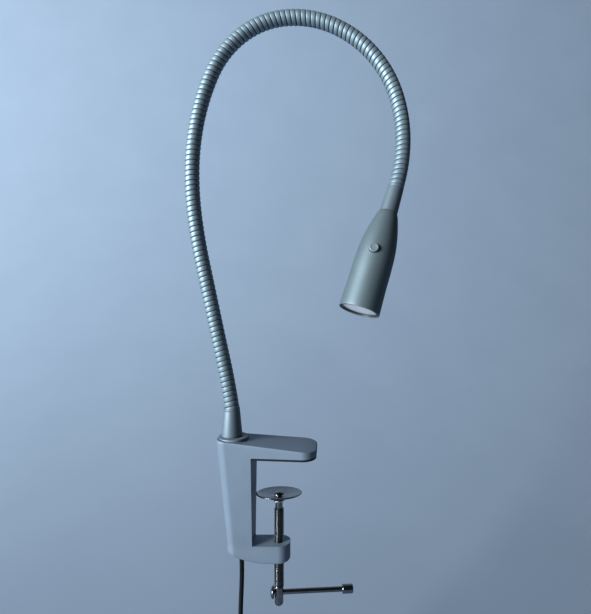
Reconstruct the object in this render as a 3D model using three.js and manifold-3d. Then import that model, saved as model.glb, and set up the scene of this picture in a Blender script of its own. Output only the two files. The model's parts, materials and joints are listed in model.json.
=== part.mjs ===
// Examination lamp: gooseneck spotlight on a C-clamp, in millimetres, +Z up.
// The origin is on the clamp screw's axis at the face of the rubber pad under the upper jaw.
// +X points along the jaws, away from the clamp's column, and -Y is the lamp's front.

import * as THREE from 'three';
import { mergeVertices } from 'three/addons/utils/BufferGeometryUtils.js';
import Module from 'manifold-3d';

const wasm = await Module();
wasm.setup();

// ---- driving dimensions ----------------------------------------------------------------

const GAP = 0.3;                       // clearance between pieces that touch on the real lamp

// clamp casting
const PAD_THICKNESS = 1.5;
const JAW_TIP_X = 31.1;
const JAW_ROOT_TOP = 11.9;             // height of the jaw's top over the column's inner face
const JAW_SLOPE = 0.1;                 // fall of the jaw's top for each millimetre outwards
const JAW_TIP_HALF_DEPTH = 19.5;
const JAW_CORNER = 11;
const COLUMN_INNER_X = -20.6;
const COLUMN_TOP_LEFT_X = -49.8;
const COLUMN_FOOT_LEFT_X = -41.6;
const COLUMN_TOP_HALF_DEPTH = 14.6;
const COLUMN_CORNER = 9;
const COLUMN_FOOT_CORNER = 7.2;
const COLUMN_INNER_CORNER = 1.2;
const LUG_TOP_Z = -70.9;
const LUG_HEIGHT = 14.5;
const LUG_RADIUS = 9.3;
const LUG_RISE = 13.5;                 // how far the underside climbs towards the column's back
const BOSS_RADIUS = 12.6;
const BOSS_TOP_Z = 15;
const BOSS_OFFSET = 1.2;               // the boss sits this far towards the jaw from the neck's axis

// neck and its end fittings
const NECK_X = -38.6;
const NECK_DIAMETER = 12;
const NECK_BORE = 8;
const NECK_JOINT_GAP = 2.7;            // room between neighbouring sections for their bend
const SECTION_LENGTH = 39.8;
const START_LEAN = -8.5;               // lean of the neck's first millimetre from vertical, in degrees
const SECTION_TURNS = [-3.8, 0.4, -0.1, 4.6, 8.3, 10.7, 12.2, 28.8, 33.8, 28.9, 25.4, 23.6, 17.8, 15.4];
const FORWARD_TILTS = [0, 0, 0, 0, 0, 0, 0.5, 1, 1.5, 2, 3, 5, 8, 11, 13];
const FERRULE_HEIGHT = 22.4;
const FERRULE_BASE_RADIUS = 8.5;
const FERRULE_TOP_RADIUS = 6.3;
const STUD_BORE = 4.4;
const STUD_IN_NECK = 14;
const STUD_IN_CASTING = 12;
const STUD_BEND_ROOM = 7;              // the studs run straight up to this far from the neck's ends
const LEAD_DIAMETER = 3;

// clamp screw
const SCREW_DIAMETER = 8;
const SCREW_NECK_DIAMETER = 6;
const SCREW_PLAIN_DIAMETER = 7.2;
const SCREW_TIP_Z = -123.8;
const THREAD_START_Z = -108;
const THREAD_END_Z = -43.6;
const SHOULDER_Z = -38.2;
const SWIVEL_STUD_RADIUS = 2.2;
const WASHER_RADIUS = 4.6;
const WASHER_THICKNESS = 0.8;
const DISC_DIAMETER = 37.6;
const DISC_THICKNESS = 1.4;
const DISC_DISH = 3.6;                 // height of the rim over the hub
const DISC_HUB_RADIUS = 8;
const DISC_HUB_HEIGHT = 1.2;
const DISC_RIM_WIDTH = 3;
const DISC_TILT = -8;                  // rest tilt of the disc about X, in degrees
const SWIVEL_PLAY = 0.7;
const CAP_RADIUS = 4.2;

// tommy bar
const BAR_Z = -113;
const BAR_RADIUS = 2;
const BAR_HOLE_PLAY = 0.45;
const BAR_LENGTH = 68;
const BAR_SWING = 5;                   // turn of the bar about Z, in degrees
const BAR_DROOP = 0.5;
const BAR_HEAD_RADIUS = 4.9;
const BAR_HEAD_THICKNESS = 3;
const BAR_CAP_RADIUS = 3.5;
const BAR_CAP_LENGTH = 9;
const BAR_SPIGOT_RADIUS = 1.2;
const BAR_SPIGOT_LENGTH = 2;

// head
const UPPER_FERRULE_LENGTH = 22;
const UPPER_FERRULE_TOP_RADIUS = 5.6;
const UPPER_FERRULE_FOOT_RADIUS = 6.9;
const HEAD_LENGTH = 78.5;
const HEAD_WALL = 1.4;
const HEAD_RADII = [[0, 7], [4.2, 8.6], [17.2, 11.8], [30.2, 13.7], [44.2, 14.3], [59.2, 14.4]];
const HEAD_RIM_RADIUS = 14.9;
const BUTTON_DEPTH = 34.9;             // distance of the button from the shell's top
const BUTTON_AZIMUTH = -14;            // turn of the button about the head's axis from its front
const BUTTON_RADIUS = 3.5;
const BUTTON_PROUD = 1.8;
const BUTTON_FLANGE = 0.9;
const BUTTON_TRAVEL = 1.2;
const STEM_RADIUS = 1.2;
const STEM_FOOT = 4.9;                 // distance of the button's stem from the head's axis
const BOARD_THICKNESS = 1.6;
const BOARD_WIDTH = 13;
const BOARD_TOP_DEPTH = 11;
const BOARD_SET_BACK = 1;              // distance of the board's back from the head's axis
const INDUCTOR_RADIUS = 3.2;
const INDUCTOR_HEIGHT = 4.7;
const CAPACITOR_RADIUS = 2.4;
const CAPACITOR_LENGTH = 12;
const SWITCH_WIDTH = 8.6;
const SWITCH_FACE = 7.6;               // distance of the switch's face from the head's axis
const SPRING_SEAT_DEPTH = 2.6;
const SPRING_RADIUS = 2.1;
const HEAT_SINK_START = 46;
const HEAT_SINK_LENGTH = 18;
const HEAT_SINK_BORE = 3;
const FIN_COUNT = 4;
const FIN_DEPTH = 4;
const LED_BOARD_THICKNESS = 1.6;
const LED_HALF_WIDTH = 3.5;
const LED_HEIGHT = 1.2;
const WIRE_RADIUS = 0.6;
const WIRE_OFFSET = 1.1;
const LENS_THICKNESS = 1.6;
const LENS_SET_BACK = 1.6;             // distance of the lens face behind the shell's rim
const REFLECTOR_DEPTH = 7;

// cord
const CORD_DIAMETER = 3.8;
const CORD_EXIT_X = -31;
const CORD_BENDS = [                   // the cord bows back, behind the tommy bar's path as it slides
  [-31, 0.3, -78], [-31, 2.4, -88], [-31.3, 4.5, -99], [-31.6, 5.2, -109], [-32, 5.1, -119], [-32.1, 3.2, -131],
];
const CORD_ENTRY_X = -31.7;            // where the cord enters the hank
const EXIT_BORE_RADIUS = 3.2;
const RELIEF_TOP_Z = -50;
const RELIEF_LENGTH = 22;
const HANK_TOP_Z = -157;
const HANK_RUN = 62;                   // straight length of the hank's runs
const HANK_FOLD = 15.2;                // radius of the outer turns' folds, to the cord's middle
const HANK_INNER_FOLD = 11.4;
const HANK_TURNS = 4;                  // turns in each of the hank's two layers
const TIE_WIDTH = 9;
const TIE_THICKNESS = 1.2;
const TIE_PLACE = 0.42;                // share of the runs' length above the tie
const TAIL_LENGTH = 9;
const PLUG_LENGTH = 24;
const PLUG_RADIUS = 4.8;
const BARREL_LENGTH = 9.5;
const BARREL_RADIUS = 2.75;

// ---- helpers ---------------------------------------------------------------------------

const DEG = Math.PI / 180;
const UP = new THREE.Vector3(0, 0, 1);
const lamp = new THREE.Group();

function material(color, metalness, roughness) {
  return new THREE.MeshStandardMaterial({ color, metalness, roughness });
}

const FINISH = {
  casting: () => material(0x9aa9b8, 0.6, 0.45),
  chrome: () => material(0xb8bcc0, 1.0, 0.18),
  rubber: () => material(0x16181b, 0.0, 0.8),
  plastic: () => material(0x22252a, 0.0, 0.5),
  brass: () => material(0xb59a5a, 1.0, 0.35),
  board: () => material(0x1f6b4a, 0.0, 0.5),
  white: () => material(0xe8ebee, 0.0, 0.4),
  glass: () => material(0xdfe8ef, 0.0, 0.1),
};

// Six times the volume that a closed geometry encloses, negative when its faces point inwards.
function signedVolume(geometry) {
  const p = geometry.getAttribute('position');
  const index = geometry.getIndex();
  const count = index ? index.count : p.count;
  const [a, b, c] = [new THREE.Vector3(), new THREE.Vector3(), new THREE.Vector3()];
  let sum = 0;
  for (let i = 0; i < count; i += 3) {
    const at = (k) => (index ? index.getX(i + k) : i + k);
    a.fromBufferAttribute(p, at(0));
    b.fromBufferAttribute(p, at(1));
    c.fromBufferAttribute(p, at(2));
    sum += a.dot(b.cross(c));
  }
  return sum;
}

// A merged copy of a geometry, holding only positions, with its faces pointing out.
function closed(geometry) {
  const bare = geometry.clone();
  bare.deleteAttribute('normal');
  bare.deleteAttribute('uv');
  const merged = mergeVertices(bare, 1e-4);
  if (signedVolume(merged) < 0) {
    const index = Array.from(merged.getIndex().array);
    for (let i = 0; i < index.length; i += 3) {
      [index[i], index[i + 1]] = [index[i + 1], index[i]];
    }
    merged.setIndex(index);
  }
  return merged;
}

function solid(geometry) {
  const g = closed(geometry);
  return new wasm.Manifold(new wasm.Mesh({
    numProp: 3,
    vertProperties: new Float32Array(g.getAttribute('position').array),
    triVerts: new Uint32Array(g.getIndex().array),
  }));
}

function fromSolid(manifold) {
  const mesh = manifold.getMesh();
  const geometry = new THREE.BufferGeometry();
  geometry.setAttribute('position', new THREE.BufferAttribute(mesh.vertProperties, 3));
  geometry.setIndex(Array.from(mesh.triVerts));
  return geometry;
}

function cut(base, ...tools) {
  return fromSolid(tools.reduce((left, tool) => left.subtract(solid(tool)), solid(base)));
}

function addMesh(parent, name, geometry, finish) {
  const shape = closed(geometry);
  shape.computeVertexNormals();
  const mesh = new THREE.Mesh(shape, finish());
  mesh.name = name;
  parent.add(mesh);
  return mesh;
}

// A turned piece about Z from [radius, height] points that start and end on the axis or close.
function turned(profile, sides = 24) {
  const points = profile.map(([r, z]) => new THREE.Vector2(r, z));
  return new THREE.LatheGeometry(points, sides).rotateX(Math.PI / 2);
}

// A turned sleeve between two heights: [outer, inner] radii at its foot and at its top.
function sleeve(z0, outer0, inner0, z1, outer1, inner1, sides = 24) {
  return turned([[inner0, z0], [outer0, z0], [outer1, z1], [inner1, z1], [inner0, z0]], sides);
}

function rod(radius, z0, z1, sides = 24) {
  return turned([[0, z0], [radius, z0], [radius, z1], [0, z1]], sides);
}

function box(x0, x1, y0, y1, z0, z1) {
  const g = new THREE.BoxGeometry(x1 - x0, y1 - y0, z1 - z0);
  return g.translate((x0 + x1) / 2, (y0 + y1) / 2, (z0 + z1) / 2);
}

// A closed body through rings of [x, y] points at rising heights, with flat ends.
function loft(rings) {
  const n = rings[0].points.length;
  const vertices = rings.flatMap(({ z, points }) => points.flatMap(([x, y]) => [x, y, z]));
  const faces = [];
  for (let k = 0; k + 1 < rings.length; k += 1) {
    for (let i = 0; i < n; i += 1) {
      const [a, b] = [k * n + i, k * n + ((i + 1) % n)];
      faces.push(a, b, b + n, a, b + n, a + n);
    }
  }
  const top = (rings.length - 1) * n;
  for (let i = 1; i + 1 < n; i += 1) {
    faces.push(0, i + 1, i, top, top + i, top + i + 1);
  }
  const geometry = new THREE.BufferGeometry();
  geometry.setAttribute('position', new THREE.Float32BufferAttribute(vertices, 3));
  geometry.setIndex(faces);
  return geometry;
}

function arc(cx, cy, radius, from, to, steps) {
  return Array.from({ length: steps + 1 }, (_, i) => {
    const angle = (from + ((to - from) * i) / steps) * DEG;
    return [cx + radius * Math.cos(angle), cy + radius * Math.sin(angle)];
  });
}

// A rounded outline from left to right, symmetric about y = 0, anticlockwise.
function roundedOutline(left, right, halfLeft, halfRight, cornerLeft, cornerRight, steps = 6) {
  return [
    ...arc(left + cornerLeft, -halfLeft + cornerLeft, cornerLeft, 180, 270, steps),
    ...arc(right - cornerRight, -halfRight + cornerRight, cornerRight, 270, 360, steps),
    ...arc(right - cornerRight, halfRight - cornerRight, cornerRight, 0, 90, steps),
    ...arc(left + cornerLeft, halfLeft - cornerLeft, cornerLeft, 90, 180, steps),
  ];
}

function shapeOf(points) {
  return new THREE.Shape(points.map(([x, y]) => new THREE.Vector2(x, y)));
}

function prismZ(points, z0, z1) {
  const options = { depth: z1 - z0, bevelEnabled: false };
  return new THREE.ExtrudeGeometry(shapeOf(points), options).translate(0, 0, z0);
}

// An outline of [x, z] points carried along Y, the same distance to both sides.
function prismY(points, half) {
  const options = { depth: 2 * half, bevelEnabled: false };
  const geometry = new THREE.ExtrudeGeometry(shapeOf(points), options);
  return geometry.rotateX(Math.PI / 2).translate(0, half, 0);
}

function polygon(radius, sides) {
  return arc(0, 0, radius, 0, 360 - 360 / sides, sides - 1);
}

// A round tube along a curve, solid unless a bore is given.
function tube(curve, radius, sides, steps, bore = 0) {
  const shape = shapeOf(polygon(radius, sides));
  if (bore > 0) {
    shape.holes.push(new THREE.Path(polygon(bore, sides).map(([x, y]) => new THREE.Vector2(x, y))));
  }
  return new THREE.ExtrudeGeometry(shape, { steps, bevelEnabled: false, extrudePath: curve });
}

function curveThrough(points) {
  return new THREE.CatmullRomCurve3(points.map((p) => new THREE.Vector3(...p)));
}

// ---- the neck's centreline -------------------------------------------------------------

const NECK_START_Z = BOSS_TOP_Z + GAP + FERRULE_HEIGHT + GAP;
const SECTION_COUNT = SECTION_TURNS.length;
const STEPS_IN_SECTION = 24;

// The neck leans by `turn` degrees from +Z towards +X and by `tilt` degrees towards the front.
function direction(turn, tilt) {
  return new THREE.Vector3(
    Math.cos(tilt * DEG) * Math.sin(turn * DEG),
    -Math.sin(tilt * DEG),
    Math.cos(tilt * DEG) * Math.cos(turn * DEG),
  );
}

// Walks the centreline: both angles change evenly along each section.
function walkNeck() {
  const points = [new THREE.Vector3(NECK_X, 0, NECK_START_Z)];
  let turn = START_LEAN;
  for (let section = 0; section < SECTION_COUNT; section += 1) {
    for (let step = 0; step < STEPS_IN_SECTION; step += 1) {
      const share = (step + 0.5) / STEPS_IN_SECTION;
      const tilt = THREE.MathUtils.lerp(FORWARD_TILTS[section], FORWARD_TILTS[section + 1], share);
      const heading = direction(turn + SECTION_TURNS[section] * share, tilt);
      const last = points[points.length - 1];
      points.push(last.clone().addScaledVector(heading, SECTION_LENGTH / STEPS_IN_SECTION));
    }
    turn += SECTION_TURNS[section];
  }
  return { points, endTurn: turn };
}

const neck = walkNeck();
const NECK_LENGTH = SECTION_LENGTH * SECTION_COUNT;

// The point at a distance along the neck from its foot.
function neckPoint(distance) {
  const place = (distance / NECK_LENGTH) * (neck.points.length - 1);
  const i = Math.min(Math.max(Math.floor(place), 0), neck.points.length - 2);
  return neck.points[i].clone().lerp(neck.points[i + 1], place - i);
}

function neckCurve(from, to, count) {
  const step = (to - from) / count;
  const points = Array.from({ length: count + 1 }, (_, i) => neckPoint(from + i * step));
  return new THREE.CatmullRomCurve3(points);
}

// ---- clamp -----------------------------------------------------------------------------

const JAW_UNDERSIDE_Z = PAD_THICKNESS + GAP;
const LUG_BOTTOM_Z = LUG_TOP_Z - LUG_HEIGHT;
const STUD_RADIUS = NECK_BORE / 2 - GAP;
const SOCKET_RADIUS = STUD_RADIUS + GAP;

function jawTop(x) {
  return JAW_ROOT_TOP - JAW_SLOPE * (x - COLUMN_INNER_X);
}

function jawOutline(inset) {
  const [left, right] = [COLUMN_TOP_LEFT_X + inset, JAW_TIP_X - inset];
  const [halfLeft, halfRight] = [COLUMN_TOP_HALF_DEPTH - inset, JAW_TIP_HALF_DEPTH - inset];
  return roundedOutline(left, right, halfLeft, halfRight, COLUMN_CORNER, JAW_CORNER, 8);
}

function clampCasting() {
  const reach = 2 * JAW_TIP_HALF_DEPTH;
  const jawSide = [
    [COLUMN_TOP_LEFT_X - 1, JAW_UNDERSIDE_Z],
    [JAW_TIP_X + 1, JAW_UNDERSIDE_Z],
    [JAW_TIP_X + 1, jawTop(JAW_TIP_X + 1)],
    [COLUMN_TOP_LEFT_X - 1, jawTop(COLUMN_TOP_LEFT_X - 1)],
  ];
  const jaw = solid(prismZ(jawOutline(0), JAW_UNDERSIDE_Z, BOSS_TOP_Z + 5))
    .intersect(solid(prismY(jawSide, reach)));

  const ring = (z, left, half, corner) => ({
    z,
    points: roundedOutline(left, COLUMN_INNER_X, half, half, corner, COLUMN_INNER_CORNER),
  });
  const column = solid(loft([
    ring(LUG_TOP_Z - 0.5, COLUMN_FOOT_LEFT_X, LUG_RADIUS, COLUMN_FOOT_CORNER),
    ring(jawTop(NECK_X), COLUMN_TOP_LEFT_X, COLUMN_TOP_HALF_DEPTH, COLUMN_CORNER),
  ]));

  const cornerX = COLUMN_FOOT_LEFT_X + COLUMN_FOOT_CORNER;
  const cornerY = LUG_RADIUS - COLUMN_FOOT_CORNER;
  const lugPlan = [
    ...arc(cornerX, cornerY, COLUMN_FOOT_CORNER, 90, 180, 6),
    ...arc(cornerX, -cornerY, COLUMN_FOOT_CORNER, 180, 270, 6),
    ...arc(0, 0, LUG_RADIUS, -90, 90, 16),
  ];
  const sweepX = COLUMN_FOOT_LEFT_X - LUG_RADIUS;
  const underside = Array.from({ length: 9 }, (_, i) => {
    const share = i / 8;
    return [-LUG_RADIUS + (sweepX + LUG_RADIUS) * share, LUG_BOTTOM_Z + LUG_RISE * share ** 1.8];
  });
  const lugSide = [
    ...underside.reverse(),
    [LUG_RADIUS + 1, LUG_BOTTOM_Z],
    [LUG_RADIUS + 1, LUG_TOP_Z],
    [sweepX, LUG_TOP_Z],
  ];
  const lug = solid(prismZ(lugPlan, LUG_BOTTOM_Z - 1, LUG_TOP_Z))
    .intersect(solid(prismY(lugSide, reach)));

  const boss = rod(BOSS_RADIUS, JAW_UNDERSIDE_Z, BOSS_TOP_Z, 40).translate(NECK_X + BOSS_OFFSET, 0, 0);
  const body = jaw.add(column).add(lug).add(solid(boss));

  const socketFoot = BOSS_TOP_Z - STUD_IN_CASTING - 2;
  const socket = rod(SOCKET_RADIUS, socketFoot, BOSS_TOP_Z + 1).translate(NECK_X, 0, 0);
  const exitTop = RELIEF_TOP_Z + 4;
  const exitBore = rod(EXIT_BORE_RADIUS, LUG_BOTTOM_Z - 1, exitTop, 16).translate(CORD_EXIT_X, 0, 0);
  const slant = new THREE.Vector3(NECK_X - CORD_EXIT_X, 0, socketFoot + 3 - (exitTop - 3));
  const lean = new THREE.Quaternion().setFromUnitVectors(UP, slant.clone().normalize());
  const passage = rod(EXIT_BORE_RADIUS, 0, slant.length(), 16)
    .applyQuaternion(lean)
    .translate(CORD_EXIT_X, 0, exitTop - 3);
  const screwHole = rod(SCREW_DIAMETER / 2 + GAP, LUG_BOTTOM_Z - 1, LUG_TOP_Z + 1);
  return fromSolid([socket, exitBore, passage, screwHole]
    .reduce((left, tool) => left.subtract(solid(tool)), body));
}

addMesh(lamp, 'clamp_casting', clampCasting(), FINISH.casting);

const padOutline = jawOutline(0.2).map(([x, y]) => [Math.max(x, COLUMN_INNER_X + GAP), y]);
addMesh(lamp, 'jaw_pad', prismZ(padOutline, 0, PAD_THICKNESS), FINISH.rubber);

// ---- clamp screw, pressure disc and tommy bar ------------------------------------------

const screwProfile = [
  [0, SCREW_TIP_Z],
  ...arc(0, SCREW_TIP_Z + SCREW_PLAIN_DIAMETER / 2, SCREW_PLAIN_DIAMETER / 2, -75, 0, 5),
  [SCREW_PLAIN_DIAMETER / 2, THREAD_START_Z],
  [SCREW_DIAMETER / 2, THREAD_START_Z + 0.4],
  [SCREW_DIAMETER / 2, THREAD_END_Z - 1],
  [SCREW_NECK_DIAMETER / 2, THREAD_END_Z],
  [SCREW_NECK_DIAMETER / 2, SHOULDER_Z],
  [SWIVEL_STUD_RADIUS, SHOULDER_Z],
];

const WASHER_TOP_Z = SHOULDER_Z + GAP + WASHER_THICKNESS;
const DISC_LIFT = WASHER_RADIUS * Math.sin(Math.abs(DISC_TILT) * DEG) + GAP;
const HUB_Z = WASHER_TOP_Z + DISC_LIFT;
const PLATE_TOP_Z = HUB_Z + DISC_HUB_HEIGHT + DISC_THICKNESS;
const CAP_Z = PLATE_TOP_Z + CAP_RADIUS * Math.sin(Math.abs(DISC_TILT) * DEG) + GAP;
const SWIVEL_TOP_Z = CAP_Z + 0.9;

const barFrame = new THREE.Group();
barFrame.position.set(0, 0, BAR_Z);
barFrame.rotation.set(0, BAR_DROOP * DEG, BAR_SWING * DEG, 'ZYX');
lamp.add(barFrame);
barFrame.updateMatrixWorld(true);

// A turned piece about the tommy bar's own axis, from its [radius, distance] profile.
function alongBar(geometry) {
  return geometry.rotateY(Math.PI / 2);
}

const holeTool = alongBar(rod(BAR_RADIUS + BAR_HOLE_PLAY, -SCREW_DIAMETER, SCREW_DIAMETER, 20))
  .applyMatrix4(barFrame.matrixWorld);
const screwBlank = turned([...screwProfile, [SWIVEL_STUD_RADIUS, SWIVEL_TOP_Z], [0, SWIVEL_TOP_Z]], 24);
addMesh(lamp, 'clamp_screw', cut(screwBlank, holeTool), FINISH.chrome);

addMesh(lamp, 'thrust_washer', sleeve(
  SHOULDER_Z + GAP, WASHER_RADIUS, SWIVEL_STUD_RADIUS + GAP,
  WASHER_TOP_Z, WASHER_RADIUS, SWIVEL_STUD_RADIUS + GAP,
), FINISH.chrome);

function pressureDisc() {
  const hole = SWIVEL_STUD_RADIUS + SWIVEL_PLAY;
  const rim = DISC_DIAMETER / 2;
  const plate = DISC_HUB_HEIGHT;
  return turned([
    [hole, 0],
    [WASHER_RADIUS, 0],
    [WASHER_RADIUS, plate],
    [DISC_HUB_RADIUS, plate],
    [rim - DISC_RIM_WIDTH, plate + DISC_DISH - DISC_THICKNESS],
    [rim, plate + DISC_DISH - DISC_THICKNESS],
    [rim, plate + DISC_DISH],
    [rim - DISC_RIM_WIDTH - 0.4, plate + DISC_DISH],
    [DISC_HUB_RADIUS - 0.4, plate + DISC_THICKNESS],
    [hole, plate + DISC_THICKNESS],
    [hole, 0],
  ], 28);
}

const disc = addMesh(lamp, 'pressure_disc', pressureDisc(), FINISH.chrome);
disc.position.set(0, 0, HUB_Z);
disc.rotation.x = DISC_TILT * DEG;

const capDepth = SWIVEL_TOP_Z - CAP_Z + GAP;
addMesh(lamp, 'swivel_cap', turned([
  [0, CAP_Z + capDepth],
  [SWIVEL_STUD_RADIUS + GAP, CAP_Z + capDepth],
  [SWIVEL_STUD_RADIUS + GAP, CAP_Z],
  [CAP_RADIUS, CAP_Z],
  [CAP_RADIUS * 0.92, CAP_Z + 0.9],
  [CAP_RADIUS * 0.62, CAP_Z + 1.8],
  [0, CAP_Z + 2.2],
], 20), FINISH.chrome);

const BAR_LEFT = -(SCREW_PLAIN_DIAMETER / 2 + GAP + BAR_HEAD_THICKNESS);
const BAR_RIGHT = BAR_LEFT + BAR_LENGTH;
const barBodyLeft = BAR_LEFT + BAR_HEAD_THICKNESS + GAP;
const barBodyRight = BAR_RIGHT - BAR_CAP_LENGTH - GAP;
addMesh(barFrame, 'tommy_bar', alongBar(turned([
  [0, barBodyLeft - BAR_SPIGOT_LENGTH],
  [BAR_SPIGOT_RADIUS, barBodyLeft - BAR_SPIGOT_LENGTH],
  [BAR_SPIGOT_RADIUS, barBodyLeft],
  [BAR_RADIUS, barBodyLeft],
  [BAR_RADIUS, barBodyRight],
  [BAR_SPIGOT_RADIUS, barBodyRight],
  [BAR_SPIGOT_RADIUS, barBodyRight + BAR_SPIGOT_LENGTH],
  [0, barBodyRight + BAR_SPIGOT_LENGTH],
], 16)), FINISH.chrome);
addMesh(barFrame, 'tommy_bar_head', alongBar(turned([
  [0, BAR_LEFT],
  [BAR_HEAD_RADIUS * 0.75, BAR_LEFT],
  [BAR_HEAD_RADIUS, BAR_LEFT + 0.9],
  [BAR_HEAD_RADIUS, BAR_LEFT + BAR_HEAD_THICKNESS],
  [BAR_SPIGOT_RADIUS + GAP, BAR_LEFT + BAR_HEAD_THICKNESS],
  [BAR_SPIGOT_RADIUS + GAP, barBodyLeft - BAR_SPIGOT_LENGTH - GAP],
  [0, barBodyLeft - BAR_SPIGOT_LENGTH - GAP],
], 20)), FINISH.chrome);
addMesh(barFrame, 'tommy_bar_cap', alongBar(turned([
  [0, barBodyRight + BAR_SPIGOT_LENGTH + GAP],
  [BAR_SPIGOT_RADIUS + GAP, barBodyRight + BAR_SPIGOT_LENGTH + GAP],
  [BAR_SPIGOT_RADIUS + GAP, barBodyRight + GAP],
  [BAR_CAP_RADIUS, barBodyRight + GAP],
  [BAR_CAP_RADIUS, BAR_RIGHT - 0.6],
  [BAR_CAP_RADIUS - 0.6, BAR_RIGHT],
  [0, BAR_RIGHT],
], 20)), FINISH.chrome);

// ---- lower ferrule and neck ------------------------------------------------------------

const ferruleFoot = BOSS_TOP_Z + GAP;
addMesh(lamp, 'lower_ferrule', sleeve(
  ferruleFoot, FERRULE_BASE_RADIUS, SOCKET_RADIUS,
  ferruleFoot + FERRULE_HEIGHT, FERRULE_TOP_RADIUS, SOCKET_RADIUS, 32,
).translate(NECK_X, 0, 0), FINISH.casting);

const rootStudCurve = curveThrough([
  [NECK_X, 0, BOSS_TOP_Z - STUD_IN_CASTING],
  [NECK_X, 0, BOSS_TOP_Z],
  [NECK_X, 0, NECK_START_Z - STUD_BEND_ROOM],
  ...[0, 0.5, 1].map((share) => neckPoint(STUD_IN_NECK * share).toArray()),
]);
addMesh(lamp, 'neck_stud', tube(rootStudCurve, STUD_RADIUS - 0.2, 8, 6, STUD_BORE / 2), FINISH.brass);

for (let i = 0; i < SECTION_COUNT; i += 1) {
  const from = i * SECTION_LENGTH + NECK_JOINT_GAP / 2;
  const to = (i + 1) * SECTION_LENGTH - (i === SECTION_COUNT - 1 ? 0 : NECK_JOINT_GAP / 2);
  const name = `neck_section_${String(i + 1).padStart(2, '0')}`;
  const geometry = tube(neckCurve(from, to, 6), NECK_DIAMETER / 2, 12, 4, NECK_BORE / 2);
  addMesh(lamp, name, geometry, FINISH.casting);
}

// ---- head, in a frame whose Z axis points from the lens back to the neck ----------------

const headAxis = direction(neck.endTurn, FORWARD_TILTS[SECTION_COUNT]).negate();
const sideways = new THREE.Vector3(0, 1, 0).cross(headAxis).normalize();
const head = new THREE.Group();
const neckEnd = neckPoint(NECK_LENGTH);
head.quaternion.setFromRotationMatrix(
  new THREE.Matrix4().makeBasis(sideways, headAxis.clone().cross(sideways), headAxis),
);
head.position.copy(neckEnd).addScaledVector(headAxis, -(UPPER_FERRULE_LENGTH + 2 * GAP));
lamp.add(head);
head.updateMatrixWorld(true);

// The shell's outer outline as [radius, z] points from its top down to its rim.
const outline = new THREE.SplineCurve([...HEAD_RADII, [HEAD_LENGTH, HEAD_RIM_RADIUS]]
  .map(([depth, radius]) => new THREE.Vector2(radius, -depth)));
const outerPoints = outline.getPoints(9).map((p) => [p.x, p.y]);

function shellRadius(depth) {
  const below = outerPoints.findIndex(([, z]) => -z >= depth);
  const i = Math.max(below, 1);
  const [[r0, z0], [r1, z1]] = [outerPoints[i - 1], outerPoints[i]];
  return r0 + ((r1 - r0) * (depth + z0)) / (z0 - z1);
}

function headShell() {
  const inner = outerPoints.filter(([, z]) => z < -HEAD_WALL - 1).map(([r, z]) => [r - HEAD_WALL, z]);
  const topInner = shellRadius(HEAD_WALL) - HEAD_WALL;
  const shell = turned([
    [SOCKET_RADIUS, 0],
    ...outerPoints,
    ...inner.reverse(),
    [topInner, -HEAD_WALL],
    [SOCKET_RADIUS, -HEAD_WALL],
    [SOCKET_RADIUS, 0],
  ], 28);
  return cut(shell, buttonPlace(rod(BUTTON_RADIUS + GAP, 6, HEAD_RIM_RADIUS + 2, 20)));
}

// Turns a piece made along +Z so that it stands out radially where the button is.
function buttonPlace(geometry) {
  return geometry.rotateX(Math.PI / 2).rotateZ(BUTTON_AZIMUTH * DEG).translate(0, 0, -BUTTON_DEPTH);
}

addMesh(head, 'head_shell', headShell(), FINISH.casting);
addMesh(head, 'upper_ferrule', sleeve(
  GAP, UPPER_FERRULE_FOOT_RADIUS, SOCKET_RADIUS,
  UPPER_FERRULE_LENGTH + GAP, UPPER_FERRULE_TOP_RADIUS, SOCKET_RADIUS, 32,
), FINISH.casting);

// The point on the head's axis at a height over the shell's top.
const axisPoint = (z) => head.localToWorld(new THREE.Vector3(0, 0, z));

const headStudLocal = [-8, 4, UPPER_FERRULE_LENGTH - STUD_BEND_ROOM].map(axisPoint);
const headStudCurve = new THREE.CatmullRomCurve3([
  ...headStudLocal,
  ...[1, 0.5, 0].map((share) => neckPoint(NECK_LENGTH - STUD_IN_NECK * (1 - share))),
]);
addMesh(lamp, 'head_stud', tube(headStudCurve, STUD_RADIUS - 0.2, 8, 6, STUD_BORE / 2), FINISH.brass);

const NUT_RADIUS = shellRadius(HEAD_WALL + 1) - HEAD_WALL - GAP;
const nut = cut(
  prismZ(polygon(NUT_RADIUS, 6), -HEAD_WALL - GAP - 3, -HEAD_WALL - GAP),
  rod(SOCKET_RADIUS, -HEAD_WALL - 6, 0, 16),
);
addMesh(head, 'head_nut', nut, FINISH.brass);

// The circuit board stands behind the switch, square to the button's axis.
const boardTop = -BOARD_TOP_DEPTH;
const boardFoot = -(HEAT_SINK_START - 4);
const boardFront = BOARD_SET_BACK + BOARD_THICKNESS;
const boardFrame = new THREE.Group();
boardFrame.rotation.z = BUTTON_AZIMUTH * DEG;
head.add(boardFrame);
addMesh(boardFrame, 'driver_board',
  box(-BOARD_WIDTH / 2, BOARD_WIDTH / 2, -boardFront, -BOARD_SET_BACK, boardFoot, boardTop), FINISH.board);

// Turns a piece made along +Z so that it points out of the head's front at the button's height.
const radial = (geometry) => geometry.rotateX(Math.PI / 2).translate(0, 0, -BUTTON_DEPTH);

const inductorFace = BOARD_SET_BACK - GAP;
addMesh(boardFrame, 'driver_inductor',
  radial(rod(INDUCTOR_RADIUS, inductorFace - INDUCTOR_HEIGHT, inductorFace, 16)), FINISH.plastic);
const capacitorY = -boardFront - GAP - CAPACITOR_RADIUS;
addMesh(boardFrame, 'driver_capacitor',
  rod(CAPACITOR_RADIUS, -CAPACITOR_LENGTH, 0, 16).translate(0, capacitorY, boardTop - 1.5), FINISH.plastic);

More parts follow.
